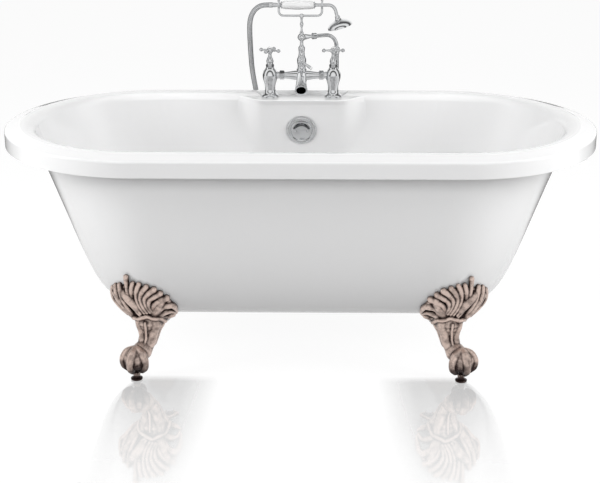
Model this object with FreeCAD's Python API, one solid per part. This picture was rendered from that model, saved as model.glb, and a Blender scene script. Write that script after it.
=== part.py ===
import FreeCAD, Part
import math
import os

# Double-ended clawfoot bath with a deck mixer and cradle handset, in millimetres.
# The origin is on the floor under the middle of the bath. +X runs along the bath,
# -Y is the side away from the taps, +Z is up.

V = FreeCAD.Vector
RIGHT = V(1, 0, 0)
BACK = V(0, 1, 0)
UP = V(0, 0, 1)
ORIGIN = V(0, 0, 0)

# ---- fits and clearances ----
RUN_GAP = 0.05          # radial gap of a shaft that turns or slides in its hole
FREE_GAP = 0.3          # gap between pieces that move past each other
HOLE_GAP = 1.0          # radial gap of a fixed tail or bolt in its hole

# ---- bath body ----
LENGTH = 1550.0
WIDTH = 770.0
HEIGHT = 640.0          # floor to the crest of the rim
WALL = 8.0
BASE_HEIGHT = 155.0     # floor to the flat underside
BASE_LENGTH = 916.0     # flat underside
BASE_WIDTH = 288.0
BASE_STRAIGHT = 660.0   # straight part of each long side at the underside
RIM_STRAIGHT = 790.0    # straight part of each long side at the rim
TURN_HEIGHT = 220.0     # the lower turn, as a quarter ellipse cut short
TURN_OUT_END = 134.0
TURN_OUT_SIDE = 150.0
TURN_ANGLE = 60.0
SIDE_FULLNESS = 3.0     # how early the long side reaches its full width
ROLL_WIDTH = 67.0       # rim's outer edge to the outside of the wall
CREST_OUTER = 40.5      # rim's outer edge to the flat crest
CREST_WIDTH = 9.5
CREST_BAND = 37.0       # rim's outer edge to the top of the sloping band
CREST_STEP = 1.5        # drop from the crest to the top of the band
BAND_DROP = 9.0         # drop from the crest to the foot of the band
SHOULDER = 6.0          # rounding between the band and the outer face
FACE_DROP = 51.0        # drop from the crest to the rim's lower edge
ROLL_DROP = 22.0        # height of the rounding inside the crest
LUG_RADIUS = 18.0       # cast lugs that take the foot bolts
LUG_PROUD = 5.0

# ---- tap ledge ----
TAP_PITCH = 180.0       # centres of the two pillars
TAP_Y = 303.0
LEDGE_DROP = 10.0       # rim crest to the ledge
LEDGE_WIDTH = 236.0
LEDGE_FRONT = 258.0     # inner edge of the ledge, from the bath's middle
LEDGE_BACK = 335.5
LEDGE_CORNER = 16.0     # end of the straight front, inwards of the ledge's width
LEDGE_FLARE = 75.0      # end of the sweep into the wall, outwards of the ledge's width
LEDGE_EDGE = 5.0        # rounding of the inner edge
SWELL_DEPTH = 190.0     # the wall's swelling under the ledge
SWELL_RETREAT = 45.0    # how far its foot lies behind the ledge's edge
SWELL_NARROWING = 38.0
SWELL_CURVE = 0.7
SWELL_BITE = 0.7        # the sweep ends this far inside the wall
DECK_BACK = 5.5         # the cut above the ledge slopes back by this much up to the crest
DECK_SLOPE = 10.0
DECK_END_SLOPE = 3.0

# ---- waste and overflow ----
WASTE_Y = 70.0
WASTE_THREAD = 47.8     # 1 1/2 in pipe thread
WASTE_FLANGE = 70.0
WASTE_BORE = 41.0
WASTE_TAIL = 52.0
PLUG_CAP = 56.0
PLUG_STEM = 8.0
TEE_RADIUS = 29.0
TEE_DROP = 56.0
TEE_SOCKET = 4.0        # wall of the socket that takes the overflow's pipe
TEE_SHOULDER = 2.0      # the socket's underside above the shoulder over the outlet
OUTLET_LENGTH = 18.0
THREAD_RELIEF = 1.5     # width of the groove at the root of a pipe thread
RELIEF_DEPTH = 0.8
PIPE_RADIUS = 14.0
PIPE_WALL = 1.5
OVERFLOW_HEIGHT = 537.0
OVERFLOW_PLATE = 86.0
OVERFLOW_HOLE = 52.0
OVERFLOW_REACH = 52.0   # pad face to the axis of the down pipe
OVERFLOW_SCREWS = 36.0  # pitch of the two screws
GASKET = 2.5

PAD_MARGIN = 2.0        # flat pad round the overflow's plate
PAD_PROUD = 1.0
ELBOW_RADIUS = 20.0
ELBOW_FLANGE = 5.0
ELBOW_DROP = 40.0
CHAMBER = 21.0          # elbow's mouth behind the overflow
SCREW_SHANK = 2.5
TEE_REACH = 52.0
PIPE_BEND = 45.0

# ---- claw feet ----
FOOT_X = 425.0
FOOT_Y = 250.0
FOOT_TURN = 50.0        # degrees between the foot's outward way and the bath's length
BALL_HEIGHT = 62.0
BALL_RADIUS = 35.0
LEAF_PROUD = 11.0
LEAF_TOP = 296.0
COLLAR_HEIGHT = 166.0
COLLAR_BACK = 54.0      # collar's middle, inwards of the ball's middle
LUG_BACK = 112.0        # foot bolt, inwards of the ball's middle
BOLT_RADIUS = 5.0
SCREW_RADIUS = 5.0      # levelling screw
SCREW_PAD = 15.5
PAD_HEIGHT = 11.0
SCREW_SEAT = 20.0       # underside of the ball's boss
SCREW_BOSS = 12.0
SCREW_LENGTH = 58.0
LOCKNUT_WIDTH = 17.0
SHANK_FLUTES = 7
COLLAR_LOBES = 9
CLAW_SPREAD = 52.0
LEAF_DEPTH = 150.0
LOBE_RISE = 6.0
TONGUE = 9.0            # plate of the foot under the lug
BOLT_HEAD = 17.0
BOLT_HEAD_HEIGHT = 6.5
WASHER = 2.0

# ---- mixer ----
TAIL_RADIUS = 13.2      # 3/4 in pipe thread
TAIL_LENGTH = 40.0
PILLAR_FLANGE = 25.5
BELLY_HEIGHT = 63.0     # ledge to the axis of the bridge
BELLY_RADIUS = 21.0
BONNET_HEIGHT = 86.0    # ledge to the foot of the bonnet
HUB_HEIGHT = 134.0      # ledge to the arms of the cross handle
HANDLE_REACH = 27.0     # spindle axis to the middle of the end balls
HANDLE_BALL = 5.4
SPINDLE_RADIUS = 4.0
WATERWAY = 7.0
BODY_RADIUS = 14.5
SPOUT_REACH = 96.0
SPOUT_MOUTH = 18.0
SPOUT_BORE = 13.5
LEVER_HEIGHT = 108.0
LEVER_LENGTH = 38.0
LEVER_TURN = 38.0       # degrees that the lever points below level at rest
BALL_JOINT_HEIGHT = 172.0
BALL_JOINT_RADIUS = 11.5
SWAN_TURN = 24.4        # degrees that the swan neck points behind the bath's length
SWAN_REACH = 108.7
SWAN_BEND = 34.0
SWAN_RADIUS = 5.5
CRADLE_HEIGHT = 232.0
CRADLE_LEFT = -64.0
CRADLE_RIGHT = 57.0
CRADLE_CORNER = 13.0
CRADLE_ROD = 3.0

BACKNUT = 34.0
BACKNUT_HEIGHT = 9.0
BACKNUT_SPARE = 0.5     # thread that shows under the backnut before the groove
TAP_WASHER = 18.0
UNION_AT = 56.0         # body's axis to the faces that each union nut joins
UNION_RADIUS = 10.5
UNION_NUT = 23.0
STUB_RADIUS = 9.0
STUB_BORE = 6.0
UNION_COLLAR = 1.4
BONNET_RADIUS = 10.0
BONNET_NECK_TOP = 126.0
HUB_TOP = 141.0
LEVER_BOSS = 7.0
SPOUT_DIP = 30.0        # degrees below level at the mouth
BODY_LOW = 42.0
BODY_TOP = 78.0
DIVERTER_RADIUS = 12.5
DIVERTER_TOP = 118.0
LEVER_OUT = 18.0        # riser's axis to the face the lever turns on
LEVER_RADIUS = 5.0
LEVER_TIP = 7.0
RISER_TOP = 162.0
SWAN_NUT_AT = 33.5
SWAN_NUT = 18.0
SWAN_NUT_LENGTH = 12.0
HOSE_NUT_TOP = 136.0
HOSE_NUT_LOW = 115.0
HANDLE_TURN_HOT = -23.0
HANDLE_TURN_COLD = 3.0
STEM_LOW = 182.0
FORK_ROD = 2.6
FORK_TIP = 275.0
FORK_PLAY = 1.3

# ---- handset ----
HANDSET_HEIGHT = 262.0  # ledge to the handset's axis
HANDSET_NECK = 4.6
GRIP_LEFT = -55.0
GRIP_RIGHT = 34.0
GRIP_RADIUS = 13.0
GRIP_BORE = 5.2
ROSE_RADIUS = 34.5
ROSE_TILT = 16.0        # degrees that the rose's face turns to the right
ROSE_X = 108.5
ROSE_DROP = 62.0        # handset's axis to the middle of the rose's rim
NECK_BEND = 21.0
CONE_END = -92.0
CONE_TOP = -69.0
TUBE_LEFT = -75.0
FERRULE = 6.0
ROSE_DEPTH = 27.0
ROSE_HOLE = 0.9
ROSE_HOLES = ((0, 1), (9, 8), (18, 14), (27, 20))

# ---- hose ----
HOSE_RADIUS = 7.5

OVAL_PULL = 0.5523      # share of the way to the corner at which a cubic curve follows a quarter oval

# ---- heights that follow ----
LEDGE_Z = HEIGHT - LEDGE_DROP
HALF_LENGTH = LENGTH / 2
HALF_WIDTH = WIDTH / 2
WALL_TOP = HEIGHT - WALL
INNER_FLOOR = BASE_HEIGHT + WALL
HANDSET_Z = LEDGE_Z + HANDSET_HEIGHT
SIDES = (-1, 1)


# ================= shared shapes =================

def turned(*runs):
    """A solid of revolution about Z. Each run is a list of (radius, height):
    two points make a straight edge and more make a smooth curve."""
    edges = []
    for run in runs:
        points = [V(r, 0, z) for r, z in run]
        if len(points) == 2:
            edges.append(Part.LineSegment(*points).toShape())
        else:
            curve = Part.BSplineCurve()
            curve.interpolate(points)
            edges.append(curve.toShape())
    first, last = runs[0][0], runs[-1][-1]
    if first != last:
        edges.append(Part.LineSegment(V(last[0], 0, last[1]), V(first[0], 0, first[1])).toShape())
    face = Part.Face(Part.Wire(edges))
    return face.revolve(ORIGIN, UP, 360)


def steps(*points):
    """Straight runs through the points, for turned()."""
    return [[a, b] for a, b in zip(points, points[1:])]


def rod(radius, start, end):
    way = end - start
    return Part.makeCylinder(radius, way.Length, start, way)


def ring(outer, inner, height, base=ORIGIN, way=UP):
    return Part.makeCylinder(outer, height, base, way).cut(Part.makeCylinder(inner, height, base, way))


def hexagon(across, height, base=ORIGIN):
    """A hexagonal prism by its size across flats, with its corners turned off."""
    corner = across / math.sqrt(3)
    points = [V(corner * math.cos(math.radians(60 * i)), corner * math.sin(math.radians(60 * i)), 0)
              for i in range(7)]
    prism = Part.Face(Part.makePolygon(points)).extrude(UP * height)
    bevel = 0.08 * across
    drum = turned(*steps((0, 0), (across / 2, 0), (corner, bevel), (corner, height - bevel),
                         (across / 2, height), (0, height)))
    return prism.common(drum).translated(base)


def along(shape, way):
    """The shape with its Z axis laid along way."""
    return shape.transformed(FreeCAD.Placement(ORIGIN, FreeCAD.Rotation(UP, way)).toMatrix())


def turn_z(shape, degrees, centre=ORIGIN):
    moved = shape.copy()
    moved.rotate(centre, UP, degrees)
    return moved


def fused(shapes):
    body = shapes[0].multiFuse(list(shapes[1:])) if len(shapes) > 1 else shapes[0]
    body = body.removeSplitter()
    return body.Solids[0] if len(body.Solids) == 1 else body


def bent_path(points, radii):
    """A wire of straight runs joined by tangent arcs, one radius for each inner point."""
    edges = []
    start = points[0]
    for before, corner, after, radius in zip(points, points[1:], points[2:], radii):
        inward = (before - corner).normalize()
        onward = (after - corner).normalize()
        half_turn = (math.pi - inward.getAngle(onward)) / 2
        reach = radius * math.tan(half_turn)
        first = corner + inward * reach
        second = corner + onward * reach
        middle_way = (inward + onward).normalize()
        middle = corner + middle_way * (radius / math.cos(half_turn) - radius)
        edges.append(Part.LineSegment(start, first).toShape())
        edges.append(Part.Arc(first, middle, second).toShape())
        start = second
    edges.append(Part.LineSegment(start, points[-1]).toShape())
    return Part.Wire(edges)


def tube(points, radii, radius):
    path = bent_path(points, radii)
    profile = Part.Wire([Part.Circle(points[0], points[1] - points[0], radius).toShape()])
    return path.makePipeShell([profile], True, False)


def hose_radii(points):
    """Each arc as large as its two runs allow."""
    radii = []
    for before, corner, after in zip(points, points[1:], points[2:]):
        shorter = min((corner - before).Length, (after - corner).Length)
        turn = (corner - before).getAngle(after - corner)
        radii.append(0.45 * shorter / math.tan(turn / 2))
    return radii


# ================= bath body =================

def oval(z, half_length, half_width, straight):
    """A closed plan curve: two straight sides joined by half ovals."""
    def quarter(start, corner, end):
        curve = Part.BezierCurve()
        curve.setPoles([start, start + (corner - start) * OVAL_PULL, end + (corner - end) * OVAL_PULL, end])
        return curve.toShape()

    s, l, w = straight, half_length, half_width
    return Part.Wire([
        Part.LineSegment(V(-s, -w, z), V(s, -w, z)).toShape(),
        quarter(V(s, -w, z), V(l, -w, z), V(l, 0, z)),
        quarter(V(l, 0, z), V(l, w, z), V(s, w, z)),
        Part.LineSegment(V(s, w, z), V(-s, w, z)).toShape(),
        quarter(V(-s, w, z), V(-l, w, z), V(-l, 0, z)),
        quarter(V(-l, 0, z), V(-l, -w, z), V(-s, -w, z)),
    ])


def straight_at(z):
    share = (z - BASE_HEIGHT) / (HEIGHT - BASE_HEIGHT)
    return (BASE_STRAIGHT + (RIM_STRAIGHT - BASE_STRAIGHT) * share) / 2


def turn_size(degrees, inset):
    """Half length, half width and height on the lower turn, set in by inset."""
    angle = math.radians(degrees)
    return (BASE_LENGTH / 2 + (TURN_OUT_END - inset) * math.sin(angle),
            BASE_WIDTH / 2 + (TURN_OUT_SIDE - inset) * math.sin(angle),
            BASE_HEIGHT + inset + (TURN_HEIGHT - inset) * (1 - math.cos(angle)))


def flank_size(z, inset):
    """Half length and half width above the lower turn, set in by inset."""
    length, width, low = turn_size(TURN_ANGLE, 0)
    rise = WALL_TOP - low
    share = (z - low) / rise
    run_end = HALF_LENGTH - ROLL_WIDTH - length
    run_side = HALF_WIDTH - ROLL_WIDTH - width
    end = length + run_end * share
    side = width + run_side * (1 - (1 - share) ** SIDE_FULLNESS)
    side_slope = run_side * SIDE_FULLNESS * (1 - share) ** (SIDE_FULLNESS - 1) / rise
    return (end - inset * math.hypot(1, run_end / rise), side - inset * math.hypot(1, side_slope))


def hull_wires(inset, top):
    """Plan curves of the wall from the flat underside up to top, set in by inset."""
    wires = []
    for degrees in (0, 20, 40, TURN_ANGLE):
        length, width, z = turn_size(degrees, inset)
        wires.append(oval(z, length, width, straight_at(z)))
    low = z
    for share in (1 / 3, 2 / 3, 1.0):
        z = low + (top - low) * share
        wires.append(oval(z, *flank_size(z, inset), straight_at(z)))
    return wires


def hull(inset, top):
    """The solid inside the wall, set in by inset and cut level at top."""
    return Part.makeLoft(hull_wires(inset, top), True, False)


def rim_wire(inset, z):
    return oval(z, HALF_LENGTH - inset, HALF_WIDTH - inset, RIM_STRAIGHT / 2)


def shoulder_wires(inset):
    """The rounding between the rim's outer face and its sloping band, set in by inset."""
    wires = []
    radius = SHOULDER - inset / 4
    for degrees in (0, 30, 60, 90):
        angle = math.radians(degrees)
        wires.append(rim_wire(inset + radius * (1 - math.cos(angle)),
                              HEIGHT - BAND_DROP - inset - radius * (1 - math.sin(angle))))
    return wires


def roll_wires():
    """The rounding from the crest down into the bath."""
    low = HEIGHT - ROLL_DROP
    inner = CREST_OUTER + CREST_WIDTH
    length, width = flank_size(low, WALL)
    wires = []
    for degrees in (0, 22.5, 45, 67.5, 90):
        angle = math.radians(degrees)
        share = math.sin(angle)
        z = HEIGHT - ROLL_DROP * (1 - math.cos(angle))
        half_length = HALF_LENGTH - inner + (length - HALF_LENGTH + inner) * share
        half_width = HALF_WIDTH - inner + (width - HALF_WIDTH + inner) * share
        straight = RIM_STRAIGHT / 2 + (straight_at(low) - RIM_STRAIGHT / 2) * share
        wires.append(oval(z, half_length, half_width, straight))
    return wires


def plain_shell():
    """The bath without its ledge, lugs and holes, as one skin round the wall:
    up the outside, under the hollow rim, over the crest and down the inside."""
    outside = hull_wires(0, HEIGHT - ROLL_DROP)
    under = shoulder_wires(WALL)
    over = shoulder_wires(0)
    roll = roll_wires()
    inside = hull_wires(WALL, HEIGHT - ROLL_DROP)
    lip_in = rim_wire(WALL, HEIGHT - FACE_DROP)
    lip_out = rim_wire(0, HEIGHT - FACE_DROP)
    roof = rim_wire(CREST_OUTER + CREST_WIDTH / 2, HEIGHT - CREST_STEP - WALL)
    band_top = rim_wire(CREST_BAND, HEIGHT - CREST_STEP)
    crest = rim_wire(CREST_OUTER, HEIGHT)
    bands = [(outside, False), ([outside[-1], roof], True), ([roof, under[-1]], True), (under, False),
             ([under[0], lip_in], True), ([lip_out, over[0]], True), (over, False),
             ([over[-1], band_top], True), ([band_top, crest], True), (roll, False), (inside, False)]
    lip = Part.Face(lip_out).cut(Part.Face(lip_in))
    crest_flat = Part.Face(crest).cut(Part.Face(roll[0]))
    faces = [Part.Face(outside[0]), Part.Face(inside[0]), *lip.Faces, *crest_flat.Faces]
    for wires, ruled in bands:
        faces += Part.makeLoft(wires, False, ruled).Faces
    skin = Part.makeCompound(faces)
    skin.sewShape()
    return Part.makeSolid(skin.Shells[0])


def inner_width(z):
    """Half width of the bath's inner face on its straight side."""
    low = HEIGHT - ROLL_DROP
    width = flank_size(min(z, low), WALL)[1]
    if z <= low:
        return width
    crest = HALF_WIDTH - CREST_OUTER - CREST_WIDTH
    share = math.sqrt(1 - (1 - (HEIGHT - z) / ROLL_DROP) ** 2)
    return crest + (width - crest) * share


def ledge_plan(z, front, half, wall, back):
    """A plan curve with a straight front that sweeps out to the bath's wall on both sides."""
    near = half - LEDGE_CORNER
    far = half + LEDGE_FLARE
    middle = (near + far) / 2

    def sweep(side):
        curve = Part.BezierCurve()
        curve.setPoles([V(side * near, front, z), V(side * middle, front, z),
                        V(side * middle, wall, z), V(side * far, wall, z)])
        return curve.toShape()

    return Part.Wire([
        Part.LineSegment(V(-near, front, z), V(near, front, z)).toShape(),
        sweep(1),
        Part.LineSegment(V(far, wall, z), V(far, back, z)).toShape(),
        Part.LineSegment(V(far, back, z), V(-far, back, z)).toShape(),
        Part.LineSegment(V(-far, back, z), V(-far, wall, z)).toShape(),
        sweep(-1),
    ])


def swell_front(depth):
    """Inner face of the swelling under the ledge's rounded edge."""
    return LEDGE_FRONT + SWELL_RETREAT * (depth / SWELL_DEPTH) ** SWELL_CURVE


def ledge_swell(inset):
    """The swelling of the wall that carries the tap ledge, set in by inset."""
    half = (LEDGE_WIDTH - inset) / 2
    behind = SWELL_BITE + 1.1 * inset
    back = LEDGE_BACK + WALL
    edge = max(LEDGE_EDGE - inset, LEDGE_EDGE / 10)
    wires = []
    for degrees in (90, 60, 30):
        angle = math.radians(degrees)
        out = edge * (1 - math.cos(angle))
        z = LEDGE_Z - inset - edge * (1 - math.sin(angle))
        wires.append(ledge_plan(z, LEDGE_FRONT + inset + out, half, inner_width(z) + behind, back))
    for depth in (16.0, 30.0, 50.0, 80.0, 125.0, SWELL_DEPTH):
        z = LEDGE_Z - depth
        width = half - SWELL_NARROWING * (depth / SWELL_DEPTH) ** 1.5
        wires.append(ledge_plan(z, swell_front(depth) + inset, width, inner_width(z) + behind, back))
    return Part.makeLoft(wires, True, True)


def deck_cut():
    """Clears the rolled rim above the ledge, with sloping ends and back."""
    wires = []
    for z, out in ((LEDGE_Z, 0), (HEIGHT + WALL, DECK_SLOPE)):
        half = LEDGE_WIDTH / 2 + out * DECK_END_SLOPE
        back = LEDGE_BACK - DECK_BACK + out
        wires.append(Part.makePolygon([V(-half, LEDGE_FRONT, z), V(half, LEDGE_FRONT, z),
                                       V(half, back, z), V(-half, back, z), V(-half, LEDGE_FRONT, z)]))
    return Part.makeLoft(wires, True, True)


def overflow_seat():
    """The wall's inner face and its lean at the overflow's height."""
    depth = LEDGE_Z - OVERFLOW_HEIGHT
    half = OVERFLOW_PLATE / 2
    rise = swell_front(depth + half) - swell_front(depth - half)
    return swell_front(depth) + GASKET, math.degrees(math.atan(rise / (2 * half)))


def on_overflow(shape):
    """Lays a shape made along Z on the overflow's pad, Z pointing into the bath."""
    front, lean = overflow_seat()
    moved = shape.copy()
    moved.rotate(ORIGIN, RIGHT, 90 + lean)
    moved.translate(V(0, front, OVERFLOW_HEIGHT))
    return moved


def corners():
    """The four feet as (name, x sign, y sign)."""
    for y, depth in ((-1, "front"), (1, "back")):
        for x, side in ((-1, "left"), (1, "right")):
            yield f"{depth}_{side}", x, y


def lug_place():
    turn = math.radians(FOOT_TURN)
    return FOOT_X - LUG_BACK * math.cos(turn), FOOT_Y - LUG_BACK * math.sin(turn)


def bath_shell():
    """The cast bath: rolled rim, wall, tap ledge, overflow pad, foot lugs and holes."""
    roll_low = HEIGHT - ROLL_DROP
    reach = LEDGE_WIDTH / 2 + LEDGE_FLARE + WALL
    above = Part.makeBox(2 * reach, HALF_WIDTH, ROLL_DROP, V(-reach, 0, roll_low))
    swell = ledge_swell(0).common(hull(0, roll_low).fuse(above))
    shell = plain_shell().fuse(swell).cut(deck_cut()).cut(ledge_swell(WALL))
    pad_radius = OVERFLOW_PLATE / 2 + PAD_MARGIN
    shell = shell.fuse(on_overflow(Part.makeCylinder(pad_radius, WALL + PAD_PROUD, V(0, 0, -WALL))))
    shell = shell.cut(on_overflow(Part.makeCylinder(pad_radius, 2 * WALL, V(0, 0, PAD_PROUD))))
    shell = shell.cut(on_overflow(Part.makeCylinder(pad_radius, 4 * WALL, V(0, 0, -5 * WALL))))
    shell = shell.cut(on_overflow(Part.makeCylinder(OVERFLOW_HOLE / 2, 4 * WALL, V(0, 0, -2 * WALL))))
    lug_x, lug_y = lug_place()
    for _, x, y in corners():
        foot = V(x * lug_x, y * lug_y, BASE_HEIGHT - LUG_PROUD)
        shell = shell.fuse(Part.makeCylinder(LUG_RADIUS, LUG_PROUD + WALL / 2, foot))
        shell = shell.cut(Part.makeCylinder(BOLT_RADIUS, LUG_PROUD + WALL / 2, foot))
    waste = V(0, WASTE_Y, BASE_HEIGHT - WALL)
    shell = shell.cut(Part.makeCylinder(WASTE_THREAD / 2 + HOLE_GAP, 4 * WALL, waste))
    for side in SIDES:
        hole = V(side * TAP_PITCH / 2, TAP_Y, LEDGE_Z - 2 * WALL)
        shell = shell.cut(Part.makeCylinder(TAIL_RADIUS + HOLE_GAP, 3 * WALL, hole))
    return shell


# ================= claw feet =================

def lobed(centre, way, radius, lobes, depth):
    """A closed fluted section: a circle whose edge swells and dips."""
    points = []
    count = 4 * lobes
    for i in range(count):
        angle = 2 * math.pi * i / count
        r = radius * (1 + depth * math.cos(lobes * angle))
        points.append(V(r * math.cos(angle), r * math.sin(angle), 0))
    curve = Part.BSplineCurve()
    curve.interpolate(Points=points, PeriodicFlag=True)
    wire = Part.Wire([curve.toShape()])
    wire.Placement = FreeCAD.Placement(centre, FreeCAD.Rotation(UP, way))
    return wire


def shank():
    """The leg from the ball up to the collar, fluted, in the foot's own frame:
    X points outwards and the ball stands over the origin."""
    spine = [(-2, BALL_HEIGHT, 29, 0.0), (-12, 84, 29, 0.02), (-30, 104, 27, 0.05), (-43, 125, 25.5, 0.07),
             (-51, 145, 29, 0.07), (-COLLAR_BACK, COLLAR_HEIGHT - 4, 37, 0.05)]
    wires = []
    for i, (x, z, radius, depth) in enumerate(spine):
        before, after = spine[max(i - 1, 0)], spine[min(i + 1, len(spine) - 1)]
        way = V(after[0] - before[0], 0, after[1] - before[1])
        wires.append(lobed(V(x, 0, z), way, radius, SHANK_FLUTES, depth))
    return Part.makeLoft(wires, True, False)


def claw(azimuth):
    """One toe bent round the ball, with two knuckles and a talon."""
    wires = []
    for angle, radius in ((30, 9), (52, 10.5), (74, 8), (94, 9.5), (114, 7.5), (132, 4.5), (146, 1.2)):
        a = math.radians(angle)
        reach = BALL_RADIUS + 1.5
        centre = V(reach * math.sin(a), 0, BALL_HEIGHT + reach * math.cos(a))
        way = V(math.cos(a), 0, -math.sin(a))
        wires.append(Part.Wire([Part.Circle(centre, way, radius).toShape()]))
    return turn_z(Part.makeLoft(wires, True, False), azimuth)


def collar():
    """The scalloped lip where the leg meets the leaf."""
    centre = V(-COLLAR_BACK, 0, 0)
    wires = []
    for drop, radius in ((9, 36), (5, 42), (0, 44), (-6, 42), (-14, 40)):
        wires.append(lobed(centre + UP * (COLLAR_HEIGHT - drop), UP, radius, COLLAR_LOBES, 0.05))
    return Part.makeLoft(wires, True, False)


def leaf_prism(points):
    """An outline drawn as the leaf is seen from outside, extruded through the wall."""
    curve = Part.BSplineCurve()
    curve.interpolate(Points=[V(-LEAF_DEPTH, t, z) for t, z in points], PeriodicFlag=True)
    return Part.Face(Part.Wire([curve.toShape()])).extrude(V(LEAF_DEPTH * 1.5, 0, 0))


def leaf_outline():
    """Half of the leaf's edge from its tip to its root, mirrored, with a scallop for each lobe."""
    half = [(10, LEAF_TOP - 13), (22, LEAF_TOP - 9), (33, LEAF_TOP - 21), (47, LEAF_TOP - 20),
            (57, LEAF_TOP - 36), (71, LEAF_TOP - 41), (76, LEAF_TOP - 58), (87, LEAF_TOP - 72),
            (79, LEAF_TOP - 92), (60, LEAF_TOP - 110), (45, LEAF_TOP - 122), (30, LEAF_TOP - 131)]
    return [(0, LEAF_TOP)] + half + [(0, LEAF_TOP - 134)] + [(-t, z) for t, z in reversed(half)]


def leaf_lobe(tip_t, tip_z, width):
    """A raised lobe that runs from the collar to a tip on the leaf's edge."""
    root = V(tip_t * 0.18, COLLAR_HEIGHT - 4, 0)
    tip = V(tip_t, tip_z, 0)
    way = (tip - root).normalize()
    side = V(-way.y, way.x, 0)
    length = (tip - root).Length
    shape = [(0, 0.25), (0.3, 0.55), (0.6, 0.9), (0.85, 1.0), (0.97, 0.55)]
    left = [root + way * (length * share) + side * (width * part / 2) for share, part in shape]
    right = [root + way * (length * share) - side * (width * part / 2) for share, part in reversed(shape)]
    return leaf_prism([(p.x, p.y) for p in left + [tip] + right])


def foot_blank():
    """The foot before it is fitted to the wall, in its own frame, without its leaf."""
    ball = Part.makeSphere(BALL_RADIUS, V(0, 0, BALL_HEIGHT))
    boss = Part.makeCylinder(SCREW_BOSS, BALL_HEIGHT - SCREW_SEAT, V(0, 0, SCREW_SEAT))
    plate_z = BASE_HEIGHT - LUG_PROUD - TONGUE
    plate = Part.makeBox(LUG_BACK - COLLAR_BACK, 2 * LUG_RADIUS, TONGUE, V(-LUG_BACK, -LUG_RADIUS, plate_z))
    end = Part.makeCylinder(LUG_RADIUS, TONGUE, V(-LUG_BACK, 0, plate_z))
    toes = [claw(azimuth) for azimuth in (-CLAW_SPREAD, 0, CLAW_SPREAD, 180)]
    return fused([shank(), ball, boss, plate, end, collar(), *toes])


def claw_foot(outer):
    """The foot under the back right corner."""
    def placed(shape):
        return turn_z(shape, FOOT_TURN).translated(V(FOOT_X, FOOT_Y, 0))

    top = LEAF_TOP + 2 * LEAF_PROUD
    leaf = hull(-LEAF_PROUD, top).common(placed(leaf_prism(leaf_outline())))
    raised = hull(-LEAF_PROUD - LOBE_RISE, top)
    tips = [(0, LEAF_TOP + 1, 17)]
    for side in SIDES:
        tips += [(side * 22, LEAF_TOP - 11, 14), (side * 47, LEAF_TOP - 22, 15),
                 (side * 71, LEAF_TOP - 43, 16), (side * 86, LEAF_TOP - 73, 18)]
    lobes = []
    for i, tip in enumerate(tips):
        lobe = leaf_lobe(*tip).translated(V(0.3 * i, 0, 0))
        lobes.append(raised.common(placed(lobe)))
    fan = lobes[0].multiFuse(lobes[1:]).fuse(leaf)
    foot = fan.fuse(placed(foot_blank())).cut(outer)
    lug_x, lug_y = lug_place()
    lug_z = BASE_HEIGHT - LUG_PROUD
    foot = foot.cut(Part.makeCylinder(LUG_RADIUS + FREE_GAP, LUG_PROUD + WALL, V(lug_x, lug_y, lug_z)))
    foot = foot.cut(Part.makeCylinder(BOLT_RADIUS + HOLE_GAP / 2, 4 * TONGUE, V(lug_x, lug_y, lug_z - 3 * TONGUE)))
    bore = SCREW_RADIUS + RUN_GAP
    return foot.cut(Part.makeCylinder(bore, SCREW_LENGTH + FREE_GAP, V(FOOT_X, FOOT_Y, 0)))


def mirrored(shape, x, y):
    """Mirrors a shape made in the back right corner into the corner of the given signs."""
    if x < 0:
        shape = shape.mirror(ORIGIN, RIGHT)
    if y < 0:
        shape = shape.mirror(ORIGIN, BACK)
    return shape


def levelling_foot(x, y):
    """A pad on a screw that runs up into the ball."""
    pad = turned(*steps((0, 0), (SCREW_PAD - 1, 0), (SCREW_PAD, 1.5), (SCREW_PAD, 4)),
                 [(SCREW_PAD, 4), (11, 6.5), (8.5, 8.5), (8, PAD_HEIGHT)],
                 *steps((8, PAD_HEIGHT), (0, PAD_HEIGHT)))
    screw = Part.makeCylinder(SCREW_RADIUS, SCREW_LENGTH - PAD_HEIGHT / 2, V(0, 0, PAD_HEIGHT / 2))
    return pad.fuse(screw).translated(V(x * FOOT_X, y * FOOT_Y, 0))


def bored(shape, radius, low, high):
    return shape.cut(Part.makeCylinder(radius, high - low, V(0, 0, low)))


def foot_fastenings():
    """Bolts, washers and lock nuts of the four feet, as (node, solids)."""
    lug_x, lug_y = lug_place()
    seat = BASE_HEIGHT - LUG_PROUD - TONGUE
    bolts, washers, nuts = [], [], []
    head = hexagon(BOLT_HEAD, BOLT_HEAD_HEIGHT, V(0, 0, seat - WASHER - BOLT_HEAD_HEIGHT))
    reach = TONGUE + LUG_PROUD + WALL / 2 + WASHER - FREE_GAP
    bolt = head.fuse(Part.makeCylinder(BOLT_RADIUS, reach, V(0, 0, seat - WASHER)))
    washer = ring(BOLT_HEAD * 0.6, BOLT_RADIUS + HOLE_GAP / 2, WASHER, V(0, 0, seat - WASHER))
    nut_z = PAD_HEIGHT + FREE_GAP
    nut = bored(hexagon(LOCKNUT_WIDTH, SCREW_SEAT - nut_z, V(0, 0, nut_z)), SCREW_RADIUS + RUN_GAP, 0, SCREW_SEAT)
    for _, x, y in corners():
        bolts.append(bolt.translated(V(x * lug_x, y * lug_y, 0)))
        washers.append(washer.translated(V(x * lug_x, y * lug_y, 0)))
        nuts.append(nut.translated(V(x * FOOT_X, y * FOOT_Y, 0)))
    return {"foot_bolts": bolts, "foot_washers": washers, "foot_locknuts": nuts}


# ================= waste and overflow =================

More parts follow.
